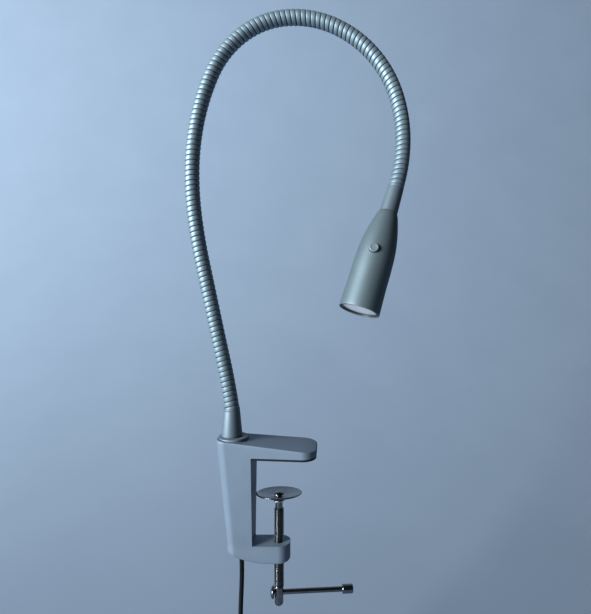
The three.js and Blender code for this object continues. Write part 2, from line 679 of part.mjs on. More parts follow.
const halfSwitch = SWITCH_WIDTH / 2;
const switchBack = boardFront + GAP;
const stemHole = rod(STEM_RADIUS + GAP, STEM_FOOT - BUTTON_TRAVEL - GAP, SWITCH_FACE + 1, 16);
const springSeat = rod(SPRING_RADIUS + GAP, SWITCH_FACE - SPRING_SEAT_DEPTH, SWITCH_FACE + 1, 16);
const switchBlank = box(
  -halfSwitch, halfSwitch, -SWITCH_FACE, -switchBack,
  -BUTTON_DEPTH - halfSwitch, -BUTTON_DEPTH + halfSwitch,
);
addMesh(boardFrame, 'switch_body',
  cut(switchBlank, radial(stemHole), radial(springSeat)), FINISH.plastic);

const flangeRadius = BUTTON_RADIUS + BUTTON_FLANGE;
const shellAtButton = shellRadius(BUTTON_DEPTH);
const innerRadius = shellAtButton - HEAD_WALL;
const flangeFront = Math.sqrt(innerRadius ** 2 - flangeRadius ** 2) - 2 * GAP;
const flangeBack = flangeFront - 0.8;
const buttonFace = shellAtButton + BUTTON_PROUD;
addMesh(boardFrame, 'push_button', radial(turned([
  [0, STEM_FOOT],
  [STEM_RADIUS, STEM_FOOT],
  [STEM_RADIUS, flangeBack],
  [flangeRadius, flangeBack],
  [flangeRadius, flangeFront],
  [BUTTON_RADIUS, flangeFront],
  [BUTTON_RADIUS, buttonFace - 0.7],
  [BUTTON_RADIUS - 0.8, buttonFace],
  [0, buttonFace],
], 24)), FINISH.casting);
addMesh(boardFrame, 'switch_spring', radial(sleeve(
  SWITCH_FACE - SPRING_SEAT_DEPTH + GAP, SPRING_RADIUS, STEM_RADIUS + GAP,
  flangeBack - GAP, SPRING_RADIUS, STEM_RADIUS + GAP, 12,
)), FINISH.chrome);

const sinkRadius = shellRadius(HEAT_SINK_START) - HEAD_WALL - 2 * GAP;
const sinkEnd = HEAT_SINK_START + HEAT_SINK_LENGTH;
const finPitch = HEAT_SINK_LENGTH / (FIN_COUNT + 1);
const finRoot = sinkRadius - FIN_DEPTH;
const finProfile = Array.from({ length: FIN_COUNT }, (_, k) => -(HEAT_SINK_START + k * finPitch))
  .flatMap((z) => [
    [sinkRadius, z],
    [sinkRadius, z - finPitch / 2],
    [finRoot, z - finPitch / 2],
    [finRoot, z - finPitch],
  ]);
addMesh(head, 'heat_sink', turned([
  [HEAT_SINK_BORE, -HEAT_SINK_START],
  ...finProfile,
  [sinkRadius, finPitch - sinkEnd],
  [sinkRadius, -sinkEnd],
  [HEAT_SINK_BORE, -sinkEnd],
  [HEAT_SINK_BORE, -HEAT_SINK_START],
], 16), FINISH.chrome);

const ledBoardTop = sinkEnd + GAP;
const ledBoardFoot = ledBoardTop + LED_BOARD_THICKNESS;
const ledHalf = LED_HALF_WIDTH;
const ledTop = -ledBoardFoot - GAP;
addMesh(head, 'led_board', rod(sinkRadius - 0.6, -ledBoardFoot, -ledBoardTop, 20), FINISH.white);
addMesh(head, 'led_emitter',
  box(-ledHalf, ledHalf, -ledHalf, ledHalf, ledTop - LED_HEIGHT, ledTop), FINISH.white);

const lensFace = HEAD_LENGTH - LENS_SET_BACK;
const lensBack = lensFace - LENS_THICKNESS;
const lensRadius = shellRadius(lensBack) - HEAD_WALL - GAP;
const sealBack = lensBack - GAP - 0.8;
const reflectorMouth = sealBack - GAP;
const reflectorThroat = Math.max(reflectorMouth - REFLECTOR_DEPTH, ledBoardFoot + GAP);
const throatRadius = ledHalf * Math.SQRT2 + GAP;
addMesh(head, 'reflector', turned([
  [throatRadius, -reflectorThroat],
  [throatRadius + 0.9, -reflectorThroat],
  [lensRadius - 0.6, -reflectorMouth + 0.8],
  [lensRadius - 0.6, -reflectorMouth],
  [lensRadius - 1.6, -reflectorMouth],
  [throatRadius, -reflectorThroat - 0.6],
  [throatRadius, -reflectorThroat],
], 20), FINISH.chrome);
addMesh(head, 'lens_seal', sleeve(
  -lensBack + GAP, lensRadius - 0.1, lensRadius - 1.3,
  -sealBack, lensRadius - 0.1, lensRadius - 1.3, 24,
), FINISH.rubber);
addMesh(head, 'lens', rod(lensRadius, -lensFace, -lensBack, 28), FINISH.glass);
addMesh(head, 'lens_ring', sleeve(
  -HEAD_LENGTH + 0.3, lensRadius, lensRadius - 1,
  -lensFace - GAP, lensRadius, lensRadius - 1, 28,
), FINISH.chrome);

for (const [name, side] of [['led_wire_red', -1], ['led_wire_black', 1]]) {
  const x = side * WIRE_OFFSET;
  const wire = curveThrough([[x, 0, boardFoot - GAP], [x, 0.2, -HEAT_SINK_START - 6], [x, 0, -sinkEnd]]);
  addMesh(head, name, tube(wire, WIRE_RADIUS, 8, 4), FINISH.plastic);
}

// ---- leads and the free cord -----------------------------------------------------------

const socketFootZ = BOSS_TOP_Z - STUD_IN_CASTING;
const leadJoinZ = socketFootZ + 4;
const neckLeadCurve = new THREE.CatmullRomCurve3([
  new THREE.Vector3(NECK_X, 0, leadJoinZ),
  new THREE.Vector3(NECK_X, 0, BOSS_TOP_Z),
  ...Array.from({ length: 2 * SECTION_COUNT + 1 }, (_, i) => neckPoint((i * SECTION_LENGTH) / 2)),
  ...[UPPER_FERRULE_LENGTH / 2, 0, -4, -8.5].map(axisPoint),
]);
addMesh(lamp, 'neck_lead', tube(neckLeadCurve, LEAD_DIAMETER / 2, 6, 42), FINISH.rubber);

const columnLeadCurve = curveThrough([
  [NECK_X, 0, leadJoinZ - GAP],
  [NECK_X, 0, socketFootZ - 1],
  [THREE.MathUtils.lerp(NECK_X, CORD_EXIT_X, 0.5), 0, (socketFootZ + RELIEF_TOP_Z) / 2],
  [CORD_EXIT_X, 0, RELIEF_TOP_Z + 4],
  [CORD_EXIT_X, 0, RELIEF_TOP_Z + GAP],
]);
addMesh(lamp, 'column_lead', tube(columnLeadCurve, LEAD_DIAMETER / 2, 8, 12), FINISH.rubber);

const reliefFootZ = RELIEF_TOP_Z - RELIEF_LENGTH;
addMesh(lamp, 'strain_relief', turned([
  [0, reliefFootZ],
  [CORD_DIAMETER / 2 + 0.3, reliefFootZ],
  [EXIT_BORE_RADIUS - GAP, RELIEF_TOP_Z - 4],
  [EXIT_BORE_RADIUS - GAP, RELIEF_TOP_Z],
  [0, RELIEF_TOP_Z],
], 16).translate(CORD_EXIT_X, 0, 0), FINISH.rubber);

const hankOuter = HANK_FOLD + CORD_DIAMETER / 2;
const hankX = CORD_ENTRY_X - HANK_FOLD;
const hankRunTop = HANK_TOP_Z - hankOuter;
const hankRunFoot = hankRunTop - HANK_RUN;
const hankFront = -(CORD_DIAMETER * 1.6);
const hankBack = (HANK_TURNS + 0.5) * CORD_DIAMETER;
const entryEdge = HANK_FOLD - CORD_DIAMETER / 2;
const cordEntryZ = hankRunTop + Math.sqrt(hankOuter ** 2 - entryEdge ** 2) + GAP;
const cordRoute = [
  [CORD_EXIT_X, 0, reliefFootZ - GAP],
  ...CORD_BENDS,
  [CORD_ENTRY_X, 0, cordEntryZ + 6],
  [CORD_ENTRY_X, 0, cordEntryZ],
];
addMesh(lamp, 'cord', tube(curveThrough(cordRoute), CORD_DIAMETER / 2, 8, 9), FINISH.rubber);

const hankOutline = [
  ...arc(hankX, hankRunTop, hankOuter, 0, 180, 14),
  ...arc(hankX, hankRunFoot, hankOuter, 180, 360, 14),
];
const hankHalf = (hankBack - hankFront) / 2;
addMesh(lamp, 'cord_hank',
  prismY(hankOutline, hankHalf).translate(0, (hankBack + hankFront) / 2, 0), FINISH.rubber);

const tieZ = hankRunTop - TIE_PLACE * HANK_RUN;
const tieBand = (grow, width) => box(
  hankX - hankOuter - grow, hankX + hankOuter + grow,
  hankFront - grow, hankBack + grow,
  tieZ - width / 2, tieZ + width / 2,
);
addMesh(lamp, 'cord_tie',
  cut(tieBand(GAP + TIE_THICKNESS, TIE_WIDTH), tieBand(GAP, TIE_WIDTH + 2)), FINISH.plastic);

const tailX = hankX + HANK_INNER_FOLD;
const tailY = -CORD_DIAMETER * 1.1;
const hankFootZ = hankRunFoot - hankOuter;
const plugTopZ = hankFootZ - TAIL_LENGTH;
addMesh(lamp, 'cord_tail',
  rod(CORD_DIAMETER / 2, plugTopZ + GAP, hankFootZ - GAP, 8).translate(tailX, tailY, 0), FINISH.rubber);
addMesh(lamp, 'plug_body', turned([
  [0, plugTopZ],
  [CORD_DIAMETER / 2 + 0.5, plugTopZ],
  [PLUG_RADIUS * 0.62, plugTopZ - PLUG_LENGTH * 0.45],
  [PLUG_RADIUS, plugTopZ - PLUG_LENGTH * 0.5],
  [PLUG_RADIUS, plugTopZ - PLUG_LENGTH + 0.8],
  [PLUG_RADIUS - 0.8, plugTopZ - PLUG_LENGTH],
  [0, plugTopZ - PLUG_LENGTH],
], 20).translate(tailX, tailY, 0), FINISH.rubber);
const barrelTop = plugTopZ - PLUG_LENGTH - GAP;
addMesh(lamp, 'plug_barrel', turned([
  [0, barrelTop],
  [BARREL_RADIUS, barrelTop],
  [BARREL_RADIUS, barrelTop - BARREL_LENGTH],
  [BARREL_RADIUS - 1.6, barrelTop - BARREL_LENGTH],
  [BARREL_RADIUS - 1.6, barrelTop - 2],
  [0, barrelTop - 2],
], 20).translate(tailX, tailY, 0), FINISH.chrome);

export default lamp;
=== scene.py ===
"""Examination lamp: a gooseneck spotlight on a C-clamp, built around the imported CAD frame.

Sizes are in millimetres unless a name says otherwise, and a mesh turns them into metres when it is made.
The origin lies on the clamp screw's axis at the face of the pad under the upper jaw. +X points along the
jaws, away from the clamp's column, and -Y is the lamp's front.
"""

import json
import logging
import math
from dataclasses import dataclass, field
from enum import Enum
from typing import Any, Sequence

import bpy
import numpy as np
from bpy.types import Material, Node, NodeSocket, NodeTree, Object
from mathutils import Matrix

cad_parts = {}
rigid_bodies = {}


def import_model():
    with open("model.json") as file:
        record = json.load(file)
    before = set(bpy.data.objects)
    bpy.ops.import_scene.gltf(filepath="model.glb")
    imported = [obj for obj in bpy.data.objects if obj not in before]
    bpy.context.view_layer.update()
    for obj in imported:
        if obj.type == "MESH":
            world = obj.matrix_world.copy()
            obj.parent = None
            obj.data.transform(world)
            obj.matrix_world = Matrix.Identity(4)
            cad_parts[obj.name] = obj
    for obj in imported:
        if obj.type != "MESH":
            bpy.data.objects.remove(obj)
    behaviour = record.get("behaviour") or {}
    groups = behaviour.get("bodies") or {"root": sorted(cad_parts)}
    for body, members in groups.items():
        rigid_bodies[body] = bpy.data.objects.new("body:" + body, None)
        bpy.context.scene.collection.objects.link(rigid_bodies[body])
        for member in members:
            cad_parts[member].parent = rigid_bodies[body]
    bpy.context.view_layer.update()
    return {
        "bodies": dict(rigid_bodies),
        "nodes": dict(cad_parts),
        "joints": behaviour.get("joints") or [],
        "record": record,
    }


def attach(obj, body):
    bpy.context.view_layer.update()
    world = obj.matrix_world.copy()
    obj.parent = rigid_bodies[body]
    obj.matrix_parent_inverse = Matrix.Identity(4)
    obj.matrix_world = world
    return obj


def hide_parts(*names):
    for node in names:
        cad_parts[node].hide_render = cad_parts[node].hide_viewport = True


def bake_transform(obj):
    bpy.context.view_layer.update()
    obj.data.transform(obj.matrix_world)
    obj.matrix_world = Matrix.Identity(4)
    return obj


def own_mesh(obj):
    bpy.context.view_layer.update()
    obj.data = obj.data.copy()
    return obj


log = logging.getLogger("examination_lamp")

Array = np.ndarray
Profile = Sequence[Sequence[float]]
Triple = tuple[float, float, float]

MM = 0.001
GAP = 0.3
UP = np.array([0.0, 0.0, 1.0])
AHEAD = np.array([0.0, 1.0, 0.0])
MERGE_STEPS = 1e7
GROOVE_STEPS = 5e5


# ---- mesh work ----


class Shading(Enum):
    """How the edges of a mesh are shaded, by the angle in degrees past which an edge stays crisp."""

    SOFT = 180.0
    CRISP = 32.0


def unit(v: Array) -> Array:
    """Returns the vectors of an array, along its last axis, each divided by its length."""
    return v / np.linalg.norm(v, axis=-1, keepdims=True)


def mix(low: Any, high: Any, share: Any) -> Any:
    """Returns low + (high - low) x share."""
    return low + (high - low) * share


def circle(sides: int) -> Array:
    """Returns the angles of points spread evenly round a circle."""
    return np.linspace(0.0, 2.0 * np.pi, sides, endpoint=False)


def edge_round(radius: float, points: int) -> tuple[Array, Array]:
    """Returns a rounded edge's insets, radius (1 - sin a), and its lifts, radius (1 - cos a)."""
    quarter = np.radians(np.linspace(0.0, 90.0, points))
    return radius * (1 - np.sin(quarter)), radius * (1 - np.cos(quarter))


def smoothstep(x: Array) -> Array:
    """Returns 3x^2 - 2x^3 with x held between 0 and 1, which starts and ends level."""
    x = np.clip(x, 0.0, 1.0)
    return x * x * (3.0 - 2.0 * x)


def add_object(name: str, data: Any) -> Object:
    """Makes an object of a mesh, a light or a camera and links it to the scene."""
    made = bpy.data.objects.new(name, data)
    bpy.context.scene.collection.objects.link(made)
    return made


def skin(name: str, rings: Array, wrapped: bool = False, shading: Shading = Shading.CRISP) -> Object:
    """Makes a closed mesh through rings of points.

    Neighbouring points of neighbouring rings make a quad. An end ring whose points coincide becomes one pole
    with a fan of triangles, and any other end ring is filled across in strips between its two halves.

    Args:
        name: The new object's name.
        rings: Points in millimetres, with shape (rings, points in a ring, 3).
        wrapped: Whether the last ring joins the first, as in a tube with a wall.
        shading: Which edges stay crisp.

    Returns:
        The object, at the origin, with its place in its mesh.
    """
    rows, cols = rings.shape[:2]
    index = np.arange(rows * cols).reshape(rows, cols)
    low = index if wrapped else index[:-1]
    high = np.roll(index, -1, axis=0) if wrapped else index[1:]
    quads = np.stack([low, np.roll(low, -1, axis=1), np.roll(high, -1, axis=1), high], axis=-1).reshape(-1, 4)
    faces = [quads]
    if not wrapped:
        half = cols // 2
        near, far = np.arange(half - 1), cols - 1 - np.arange(half - 1)
        strip = np.stack([near, far, far - 1, near + 1], axis=-1)
        faces += [index[0][strip], index[-1][strip[:, ::-1]]]
    verts = rings.reshape(-1, 3) * MM
    return mesh_object(name, verts, np.concatenate(faces), shading)


def mesh_object(name: str, verts: Array, quads: Array, shading: Shading) -> Object:
    """Puts points and quads into a new object, with doubles merged and the faces turned outwards.

    A quad that has a merged corner becomes a triangle, and one with fewer than three corners left is dropped.
    The faces point out when the sum of a . (b x c) over their triangles, six times the volume, is positive.

    Args:
        name: The new object's name.
        verts: Points in metres, with shape (points, 3).
        quads: Corner numbers, with shape (faces, 4).
        shading: Which edges stay crisp.

    Returns:
        The new object, linked to the scene.
    """
    keys = np.round(verts * MERGE_STEPS).astype(np.int64)
    _, first, same = np.unique(keys, axis=0, return_index=True, return_inverse=True)
    points, corners = verts[first], same.reshape(-1)[quads]
    distinct = corners != np.roll(corners, 1, axis=1)
    count = distinct.sum(axis=1)
    full = corners[count == 4]
    fans = corners[count == 3][distinct[count == 3]].reshape(-1, 3)
    a, b, c = points[np.concatenate([full[:, :3], full[:, [0, 2, 3]], fans])].transpose(1, 0, 2)
    if np.einsum("ij,ij->", a, np.cross(b, c)) < 0:
        full, fans = full[:, ::-1], fans[:, ::-1]
    mesh = bpy.data.meshes.new(name)
    mesh.from_pydata(points, [], [*full.tolist(), *fans.tolist()])
    mesh.shade_smooth()
    if shading is Shading.CRISP:
        mesh.set_sharp_from_angle(angle=math.radians(shading.value))
    return add_object(name, mesh)


def turned_rings(profile: Array, sides: int = 64) -> Array:
    """Turns [radius, height] points about Z: each becomes a ring at (r cos a, r sin a, z).

    Args:
        profile: Points with shape (points, 2).
        sides: Points in each ring.

    Returns:
        Rings with shape (points, sides, 3).
    """
    r, z, angle = profile[:, :1], profile[:, 1:], circle(sides)
    return np.stack(np.broadcast_arrays(r * np.cos(angle), r * np.sin(angle), z), axis=-1)


def rounded(profile: Profile, radius: float, loop: bool = False, steps: int = 4) -> Array:
    """Rounds the corners of a profile: each becomes the curve (1-t)^2 a + 2t(1-t) corner + t^2 b.

    Its ends a and b lie on the two sides, at most `radius` and at most 0.45 of that side from the corner.

    Args:
        profile: The profile's [radius, height] corners.
        radius: How far from a corner its rounding starts.
        loop: Whether the profile closes on itself, so that its first and last corners are rounded too.
        steps: Short edges in each rounded corner.

    Returns:
        The points of the rounded profile, with shape (points, 2).
    """
    p = np.asarray(profile, float)
    before, after = np.roll(p, 1, axis=0) - p, np.roll(p, -1, axis=0) - p
    sizes = (np.linalg.norm(side, axis=1, keepdims=True) for side in (before, after))
    reach = [np.minimum(radius, 0.45 * size) for size in sizes]
    a, b = p + unit(before) * reach[0], p + unit(after) * reach[1]
    t = np.linspace(0.0, 1.0, steps + 1)[:, None, None]
    curve = ((1 - t) ** 2 * a + 2 * t * (1 - t) * p + t * t * b).transpose(1, 0, 2)
    if loop:
        return curve.reshape(-1, 2)
    return np.concatenate([p[:1], curve[1:-1].reshape(-1, 2), p[-1:]])


def frames_along(path: Array) -> tuple[Array, Array]:
    """Works out two directions square to a path that never runs along Y.

    The first is Y less its share along the path, and the second completes the right-handed set.

    Args:
        path: Points with shape (points, 3).

    Returns:
        The two unit directions at each point.
    """
    along = unit(np.gradient(path, axis=0))
    across = unit(AHEAD - (along @ AHEAD)[:, None] * along)
    return across, np.cross(along, across)


def tube_rings(path: Array, radius: float | Array, sides: int = 24) -> Array:
    """Carries a circle along a path: path + radius (u cos a + v sin a), with u and v square to the path.

    Args:
        path: Points with shape (points, 3).
        radius: One radius, or one for each point of the path or of the rings.
        sides: Points in each ring.

    Returns:
        Rings with shape (points, sides, 3).
    """
    angle = circle(sides)[None, :, None]
    u, v = (d[:, None, :] for d in frames_along(path))
    r = np.asarray(radius, float)
    r = r[:, :, None] if r.ndim == 2 else r.reshape(-1, 1, 1)
    return path[:, None, :] + r * (u * np.cos(angle) + v * np.sin(angle))


def smooth_path(points: Array, steps: int) -> Array:
    """Passes an even Catmull-Rom curve through points.

    Between b and c it is half of 2b + (c-a)t + (2a-5b+4c-d)t^2 + (3b-a-3c+d)t^3.

    Args:
        points: The points, with any number of coordinates.
        steps: Points worked out between neighbours.

    Returns:
        The points of the curve.
    """
    p = np.concatenate([2 * points[:1] - points[1:2], points, 2 * points[-1:] - points[-2:-1]])
    a, b, c, d = (p[k:len(p) - 3 + k, None, :] for k in range(4))
    t = np.linspace(0.0, 1.0, steps, endpoint=False)[None, :, None]
    curve = 0.5 * (2 * b + (c - a) * t + (2 * a - 5 * b + 4 * c - d) * t**2 + (3 * b - a - 3 * c + d) * t**3)
    return np.concatenate([curve.reshape(-1, points.shape[1]), points[-1:]])


def combined(base: Object, tools: Sequence[tuple[str, Object]]) -> Object:
    """Joins or cuts a solid with others by exact boolean, and removes the tools.

    Args:
        base: The solid that is changed.
        tools: Pairs of an operation, UNION or DIFFERENCE, and the solid that it uses.

    Returns:
        The base object with its new mesh.
    """
    for operation, tool in tools:
        step = base.modifiers.new(operation, "BOOLEAN")
        step.operation, step.solver, step.object = operation, "EXACT", tool
    depsgraph = bpy.context.evaluated_depsgraph_get()
    result = bpy.data.meshes.new_from_object(base.evaluated_get(depsgraph))
    base.modifiers.clear()
    base.data = result
    result.shade_smooth()
    result.set_sharp_from_angle(angle=math.radians(Shading.CRISP.value))
    for _, tool in tools:
        bpy.data.objects.remove(tool)
    return base


@dataclass(frozen=True)
class Placement:
    """A local frame: its origin in millimetres and its three axes as the columns of a matrix."""

    origin: Array
    axes: Array

    def put(self, rings: Array) -> Array:
        """Returns points of the local frame in the lamp's frame."""
        return rings @ self.axes.T + self.origin

    def child(self, origin: Sequence[float], axes: Array) -> "Placement":
        """Returns a frame whose origin and axes are given in this one."""
        return Placement(self.put(np.asarray(origin, float)), self.axes @ axes)


def upright(x: float = 0.0, y: float = 0.0) -> Placement:
    """Returns an unturned frame at the height of the origin."""
    return Placement(np.array([x, y, 0.0]), np.eye(3))


def turned(
    name: str, frame: Placement, profile: Profile, radius: float, sides: int = 56,
    loop: bool = False, steps: int = 4,
) -> Object:
    """Turns a profile with rounded corners about a frame's Z axis.

    Args:
        name: The new object's name.
        frame: The frame that it is turned in.
        profile: The [radius, height] corners.
        radius: How far from a corner its rounding starts.
        sides: Points in each ring.
        loop: Whether the profile closes on itself, which makes a ring instead of a rod.
        steps: Short edges in each rounded corner.

    Returns:
        The new object.
    """
    return skin(name, frame.put(turned_rings(rounded(profile, radius, loop, steps), sides)), wrapped=loop)


def about(axis: int, degrees: float) -> Array:
    """Returns the matrix of a turn about X (0), Y (1) or Z (2)."""
    c, s = math.cos(math.radians(degrees)), math.sin(math.radians(degrees))
    turn = np.eye(3)
    i, j = (axis + 1) % 3, (axis + 2) % 3
    turn[i, i], turn[i, j], turn[j, i], turn[j, j] = c, -s, s, c
    return turn


# ---- finishes ----


@dataclass(frozen=True)
class Value:
    """A shader socket that takes part in sums: each operator adds one Math node."""

    tree: NodeTree
    socket: NodeSocket

    def _math(self, operation: str, first: Any, second: Any) -> "Value":
        """Adds a Math node on two sockets or numbers and returns its result."""
        node = self.tree.nodes.new("ShaderNodeMath")
        node.operation = operation
        for slot, part in zip(node.inputs, (first, second)):
            if isinstance(part, Value):
                self.tree.links.new(part.socket, slot)
            else:
                slot.default_value = part
        return Value(self.tree, node.outputs[0])

    def __add__(self, other: Any) -> "Value":
        """Returns the sum."""
        return self._math("ADD", self, other)

    def __sub__(self, other: Any) -> "Value":
        """Returns the difference."""
        return self._math("SUBTRACT", self, other)

    def __rsub__(self, other: Any) -> "Value":
        """Returns the difference the other way round."""
        return self._math("SUBTRACT", other, self)

    def __mul__(self, other: Any) -> "Value":
        """Returns the product."""
        return self._math("MULTIPLY", self, other)

    __radd__ = __add__
    __rmul__ = __mul__


class Dresser:
    """Builds one material, node by node."""

    def __init__(self, name: str) -> None:
        """Starts an empty material.

        Args:
            name: The material's name.
        """
        self.material = bpy.data.materials.new(name)
        self.material.use_nodes = True
        self.tree = self.material.node_tree
        self.tree.nodes.clear()

    def node(self, kind: str, settings: dict[str, Any] | None = None, **sockets: Any) -> Node:
        """Adds a node.

        Args:
            kind: The node's type after "ShaderNode".
            settings: Its settings, set first. "stops" holds a ramp's (position, colour) pairs.
            **sockets: The values or links of its sockets, by name with underscores for spaces.

        Returns:
            The new node.
        """
        made = self.tree.nodes.new("ShaderNode" + kind)
        for key, value in (settings or {}).items():
            if key == "stops":
                ramp = made.color_ramp
                while len(ramp.elements) < len(value):
                    ramp.elements.new(0.5)
                for element, (position, colour) in zip(ramp.elements, value):
                    element.position, element.color = position, (*colour, 1.0)
            else:
                setattr(made, key, value)
        for key, value in sockets.items():
            slot = made.inputs[key.replace("_", " ")]
            if isinstance(value, Value):
                self.tree.links.new(value.socket, slot)
            else:
                slot.default_value = value
        return made

    def out(self, node: Node, name: str | int = 0) -> Value:
        """Returns a node's output as a value."""
        return Value(self.tree, node.outputs[name])

    def place(self) -> Value:
        """Returns the point in the object's own coordinates."""
        return self.out(self.node("TexCoord"), "Object")

    def noise(
        self, scale: float, detail: float = 2.0, rough: float = 0.5, stretch: Sequence[float] = (1, 1, 1)
    ) -> Value:
        """Adds a noise pattern in space.

        Args:
            scale: Patches in a metre.
            detail: Octaves of finer noise.
            rough: Share of the finer octaves.
            stretch: Scale along each axis.

        Returns:
            The noise, from 0 to 1.
        """
        mapped = self.out(self.node("Mapping", Vector=self.place(), Scale=tuple(stretch)))
        return self.out(self.node("TexNoise", Vector=mapped, Scale=scale, Detail=detail, Roughness=rough))

    def blend(self, share: Value, low: Sequence[float], high: Sequence[float]) -> Value:
        """Returns the colour between two, by a share that a smooth ramp takes from 0 to 1."""
        ramp = self.node("ValToRGB", {"stops": [(0.25, low), (0.75, high)]}, Fac=share)
        return self.out(ramp)

    def over(self, colour: Value, share: Value, top: Sequence[float]) -> Value:
        """Returns a colour covered by another one, by a share from 0 to 1."""
        mix = self.node("Mix", {"data_type": "RGBA"})
        self.tree.links.new(share.socket, mix.inputs[0])
        self.tree.links.new(colour.socket, mix.inputs[6])
        mix.inputs[7].default_value = (*top, 1.0)
        return Value(self.tree, mix.outputs[2])

    def bump(self, height: Value, depth: float, strength: float = 1.0) -> Value:
        """Returns a normal raised by a height pattern, `depth` in millimetres."""
        return self.out(self.node("Bump", Height=height, Distance=depth * MM, Strength=strength))

    def finish(self, **sockets: Any) -> Material:
        """Joins a Principled shader to the output and returns the material."""
        shader = self.node("BsdfPrincipled", **sockets)
        self.node("OutputMaterial", Surface=self.out(shader))
        return self.material


@dataclass(frozen=True)
class Finish:
    """What every finish has: its name, its two close colours and its sheen."""

    name: str
    low: Triple
    high: Triple
    roughness: float = 0.4
    metallic: float = 0.0

    def material(self) -> Material:
        """Builds and returns the finish's material."""
        return self.dress(Dresser(self.name))

    def dress(self, d: Dresser) -> Material:
        """Dresses a moulded or plain surface: a faint drift of colour over a fine leathery grain."""
        drift, grain = d.noise(45.0, 3.0), d.noise(1400.0, 2.0)
        return d.finish(
            Base_Color=d.blend(drift, self.low, self.high),
            Roughness=drift * 0.12 + (self.roughness - 0.06),
            Metallic=self.metallic,
            Normal=d.bump(grain, 0.03, 0.35),
        )


@dataclass(frozen=True)
class SatinPaint(Finish):
    """Silver paint with a fine pearl grain, smudged lightly where hands have held it."""

    grain: float = 2600.0
    orange_peel: float = 0.02
    coat: float = 0.04
    edge: tuple[float, float, float, float] = (0.25, 0.28, 0.31, 1.0)

    def dress(self, d: Dresser) -> Material:
        """Dresses the paint: pearl flakes in colour, orange peel in the normal and smudges in the gloss."""
        flakes, smudge, peel = d.noise(self.grain, 1.0), d.noise(70.0, 4.0, 0.6), d.noise(420.0, 2.0)
        return d.finish(
            Base_Color=d.blend(flakes * 0.55 + smudge * 0.45, self.low, self.high),
            Roughness=smudge * 0.14 + flakes * 0.08 + (self.roughness - 0.11),
            Metallic=self.metallic,
            Specular_Tint=self.edge,
            Coat_Weight=self.coat,
            Coat_Roughness=0.3,
            Normal=d.bump(peel * 0.7 + flakes * 0.3, self.orange_peel, 0.5),
        )


@dataclass(frozen=True)
class WoundWire(SatinPaint):
    """Satin paint on the wound neck, with painted shade darkening its grooves."""

    # The colour of the painted shade in the grooves.
    groove: Triple = (0.015, 0.020, 0.028)

    def dress(self, d: Dresser) -> Material:
        """Dresses the bands as paint and darkens the grooves with painted shade, by the mesh's own groove
        attribute.
        """
        flakes, smudge = d.noise(self.grain, 1.0), d.noise(70.0, 4.0, 0.6)
        groove = d.out(d.node("Attribute", {"attribute_name": "groove"}), "Fac")
        paint = d.blend(flakes * 0.5 + smudge * 0.5, self.low, self.high)
        return d.finish(
            # Painted shade: each point is darkened by how deep it lies in a groove.
            Base_Color=d.over(paint, groove, self.groove),
            Roughness=smudge * 0.16 + groove * 0.2 + (self.roughness - 0.08),
            Metallic=self.metallic,
            Specular_Tint=self.edge,
            Coat_Weight=self.coat,
            Coat_Roughness=0.3,
            Normal=d.bump(flakes, self.orange_peel, 0.4),
        )


@dataclass(frozen=True)
class PlatedMetal(Finish):
    """Bright plating over turned or pressed steel, with faint streaks from the tool and a few dull spots."""

    streak: Triple = (1.0, 1.0, 30.0)

    def dress(self, d: Dresser) -> Material:
        """Dresses the plating: streaks one way in the gloss and normal, and spots in the colour."""
        streaks, spots = d.noise(160.0, 3.0, 0.6, self.streak), d.noise(320.0, 4.0, 0.7)
        return d.finish(
            Base_Color=d.blend(spots, self.low, self.high),
            Roughness=streaks * 0.12 + spots * 0.08 + (self.roughness - 0.1),
            Metallic=self.metallic,
            Normal=d.bump(streaks, 0.012, 0.35),
        )


@dataclass(frozen=True)
class Rubber(Finish):
    """Matt rubber or cord sheath, with a fine pebble and a little dust."""

    pebble: float = 1700.0
    dust: Triple = (0.03, 0.032, 0.035)

    def dress(self, d: Dresser) -> Material:
        """Dresses the rubber: a pebbled normal, and thin dust in patches."""
        pebble, patches = d.noise(self.pebble, 2.0), d.noise(110.0, 5.0, 0.7)
        dusty = d.blend(patches, (0.0, 0.0, 0.0), (0.12, 0.12, 0.12))
        return d.finish(
            Base_Color=d.over(d.blend(pebble, self.low, self.high), dusty, self.dust),
            Roughness=patches * 0.2 + (self.roughness - 0.1),
            Specular_IOR_Level=0.12,
            Normal=d.bump(pebble, 0.04, 0.5),
        )


@dataclass(frozen=True)
class CircuitBoard(Finish):
    """Solder mask over copper tracks."""

    track: Triple = (0.05, 0.22, 0.12)

    def dress(self, d: Dresser) -> Material:
        """Dresses the board: square cells whose edges stand up as tracks, under a glossy mask."""
        squares = {"feature": "F1", "distance": "CHEBYCHEV"}
        track = d.out(d.node("TexVoronoi", squares, Vector=d.place(), Scale=520.0), "Distance")
        return d.finish(
            Base_Color=d.over(d.blend(d.noise(300.0), self.low, self.high), track, self.track),
            Roughness=track * 0.2 + (self.roughness - 0.08),
            Normal=d.bump(track, 0.05, 0.4),
        )


@dataclass(frozen=True)
class FrostedLens(Finish):
    """Pale frosted plastic, pebbled on its inside so that the LED's face is spread, with a faint painted glow
    that brightens it.
    """

    painted_glow: float = 0.28

    def dress(self, d: Dresser) -> Material:
        """Dresses the lens: small cells in the normal and a faint painted glow that brightens it."""
        cells = d.out(d.node("TexVoronoi", Vector=d.place(), Scale=900.0), "Distance")
        colour = d.blend(d.noise(120.0, 3.0), self.low, self.high)
        return d.finish(
            Base_Color=colour,
            Roughness=cells * 0.15 + (self.roughness - 0.07),
            Coat_Weight=0.6,
            Coat_Roughness=0.08,
            # Painted glow: the lens gives off its own colour faintly, which brightens it as painted light.
            Emission_Color=colour,
            Emission_Strength=self.painted_glow,
            Normal=d.bump(cells, 0.05, 0.4),
        )


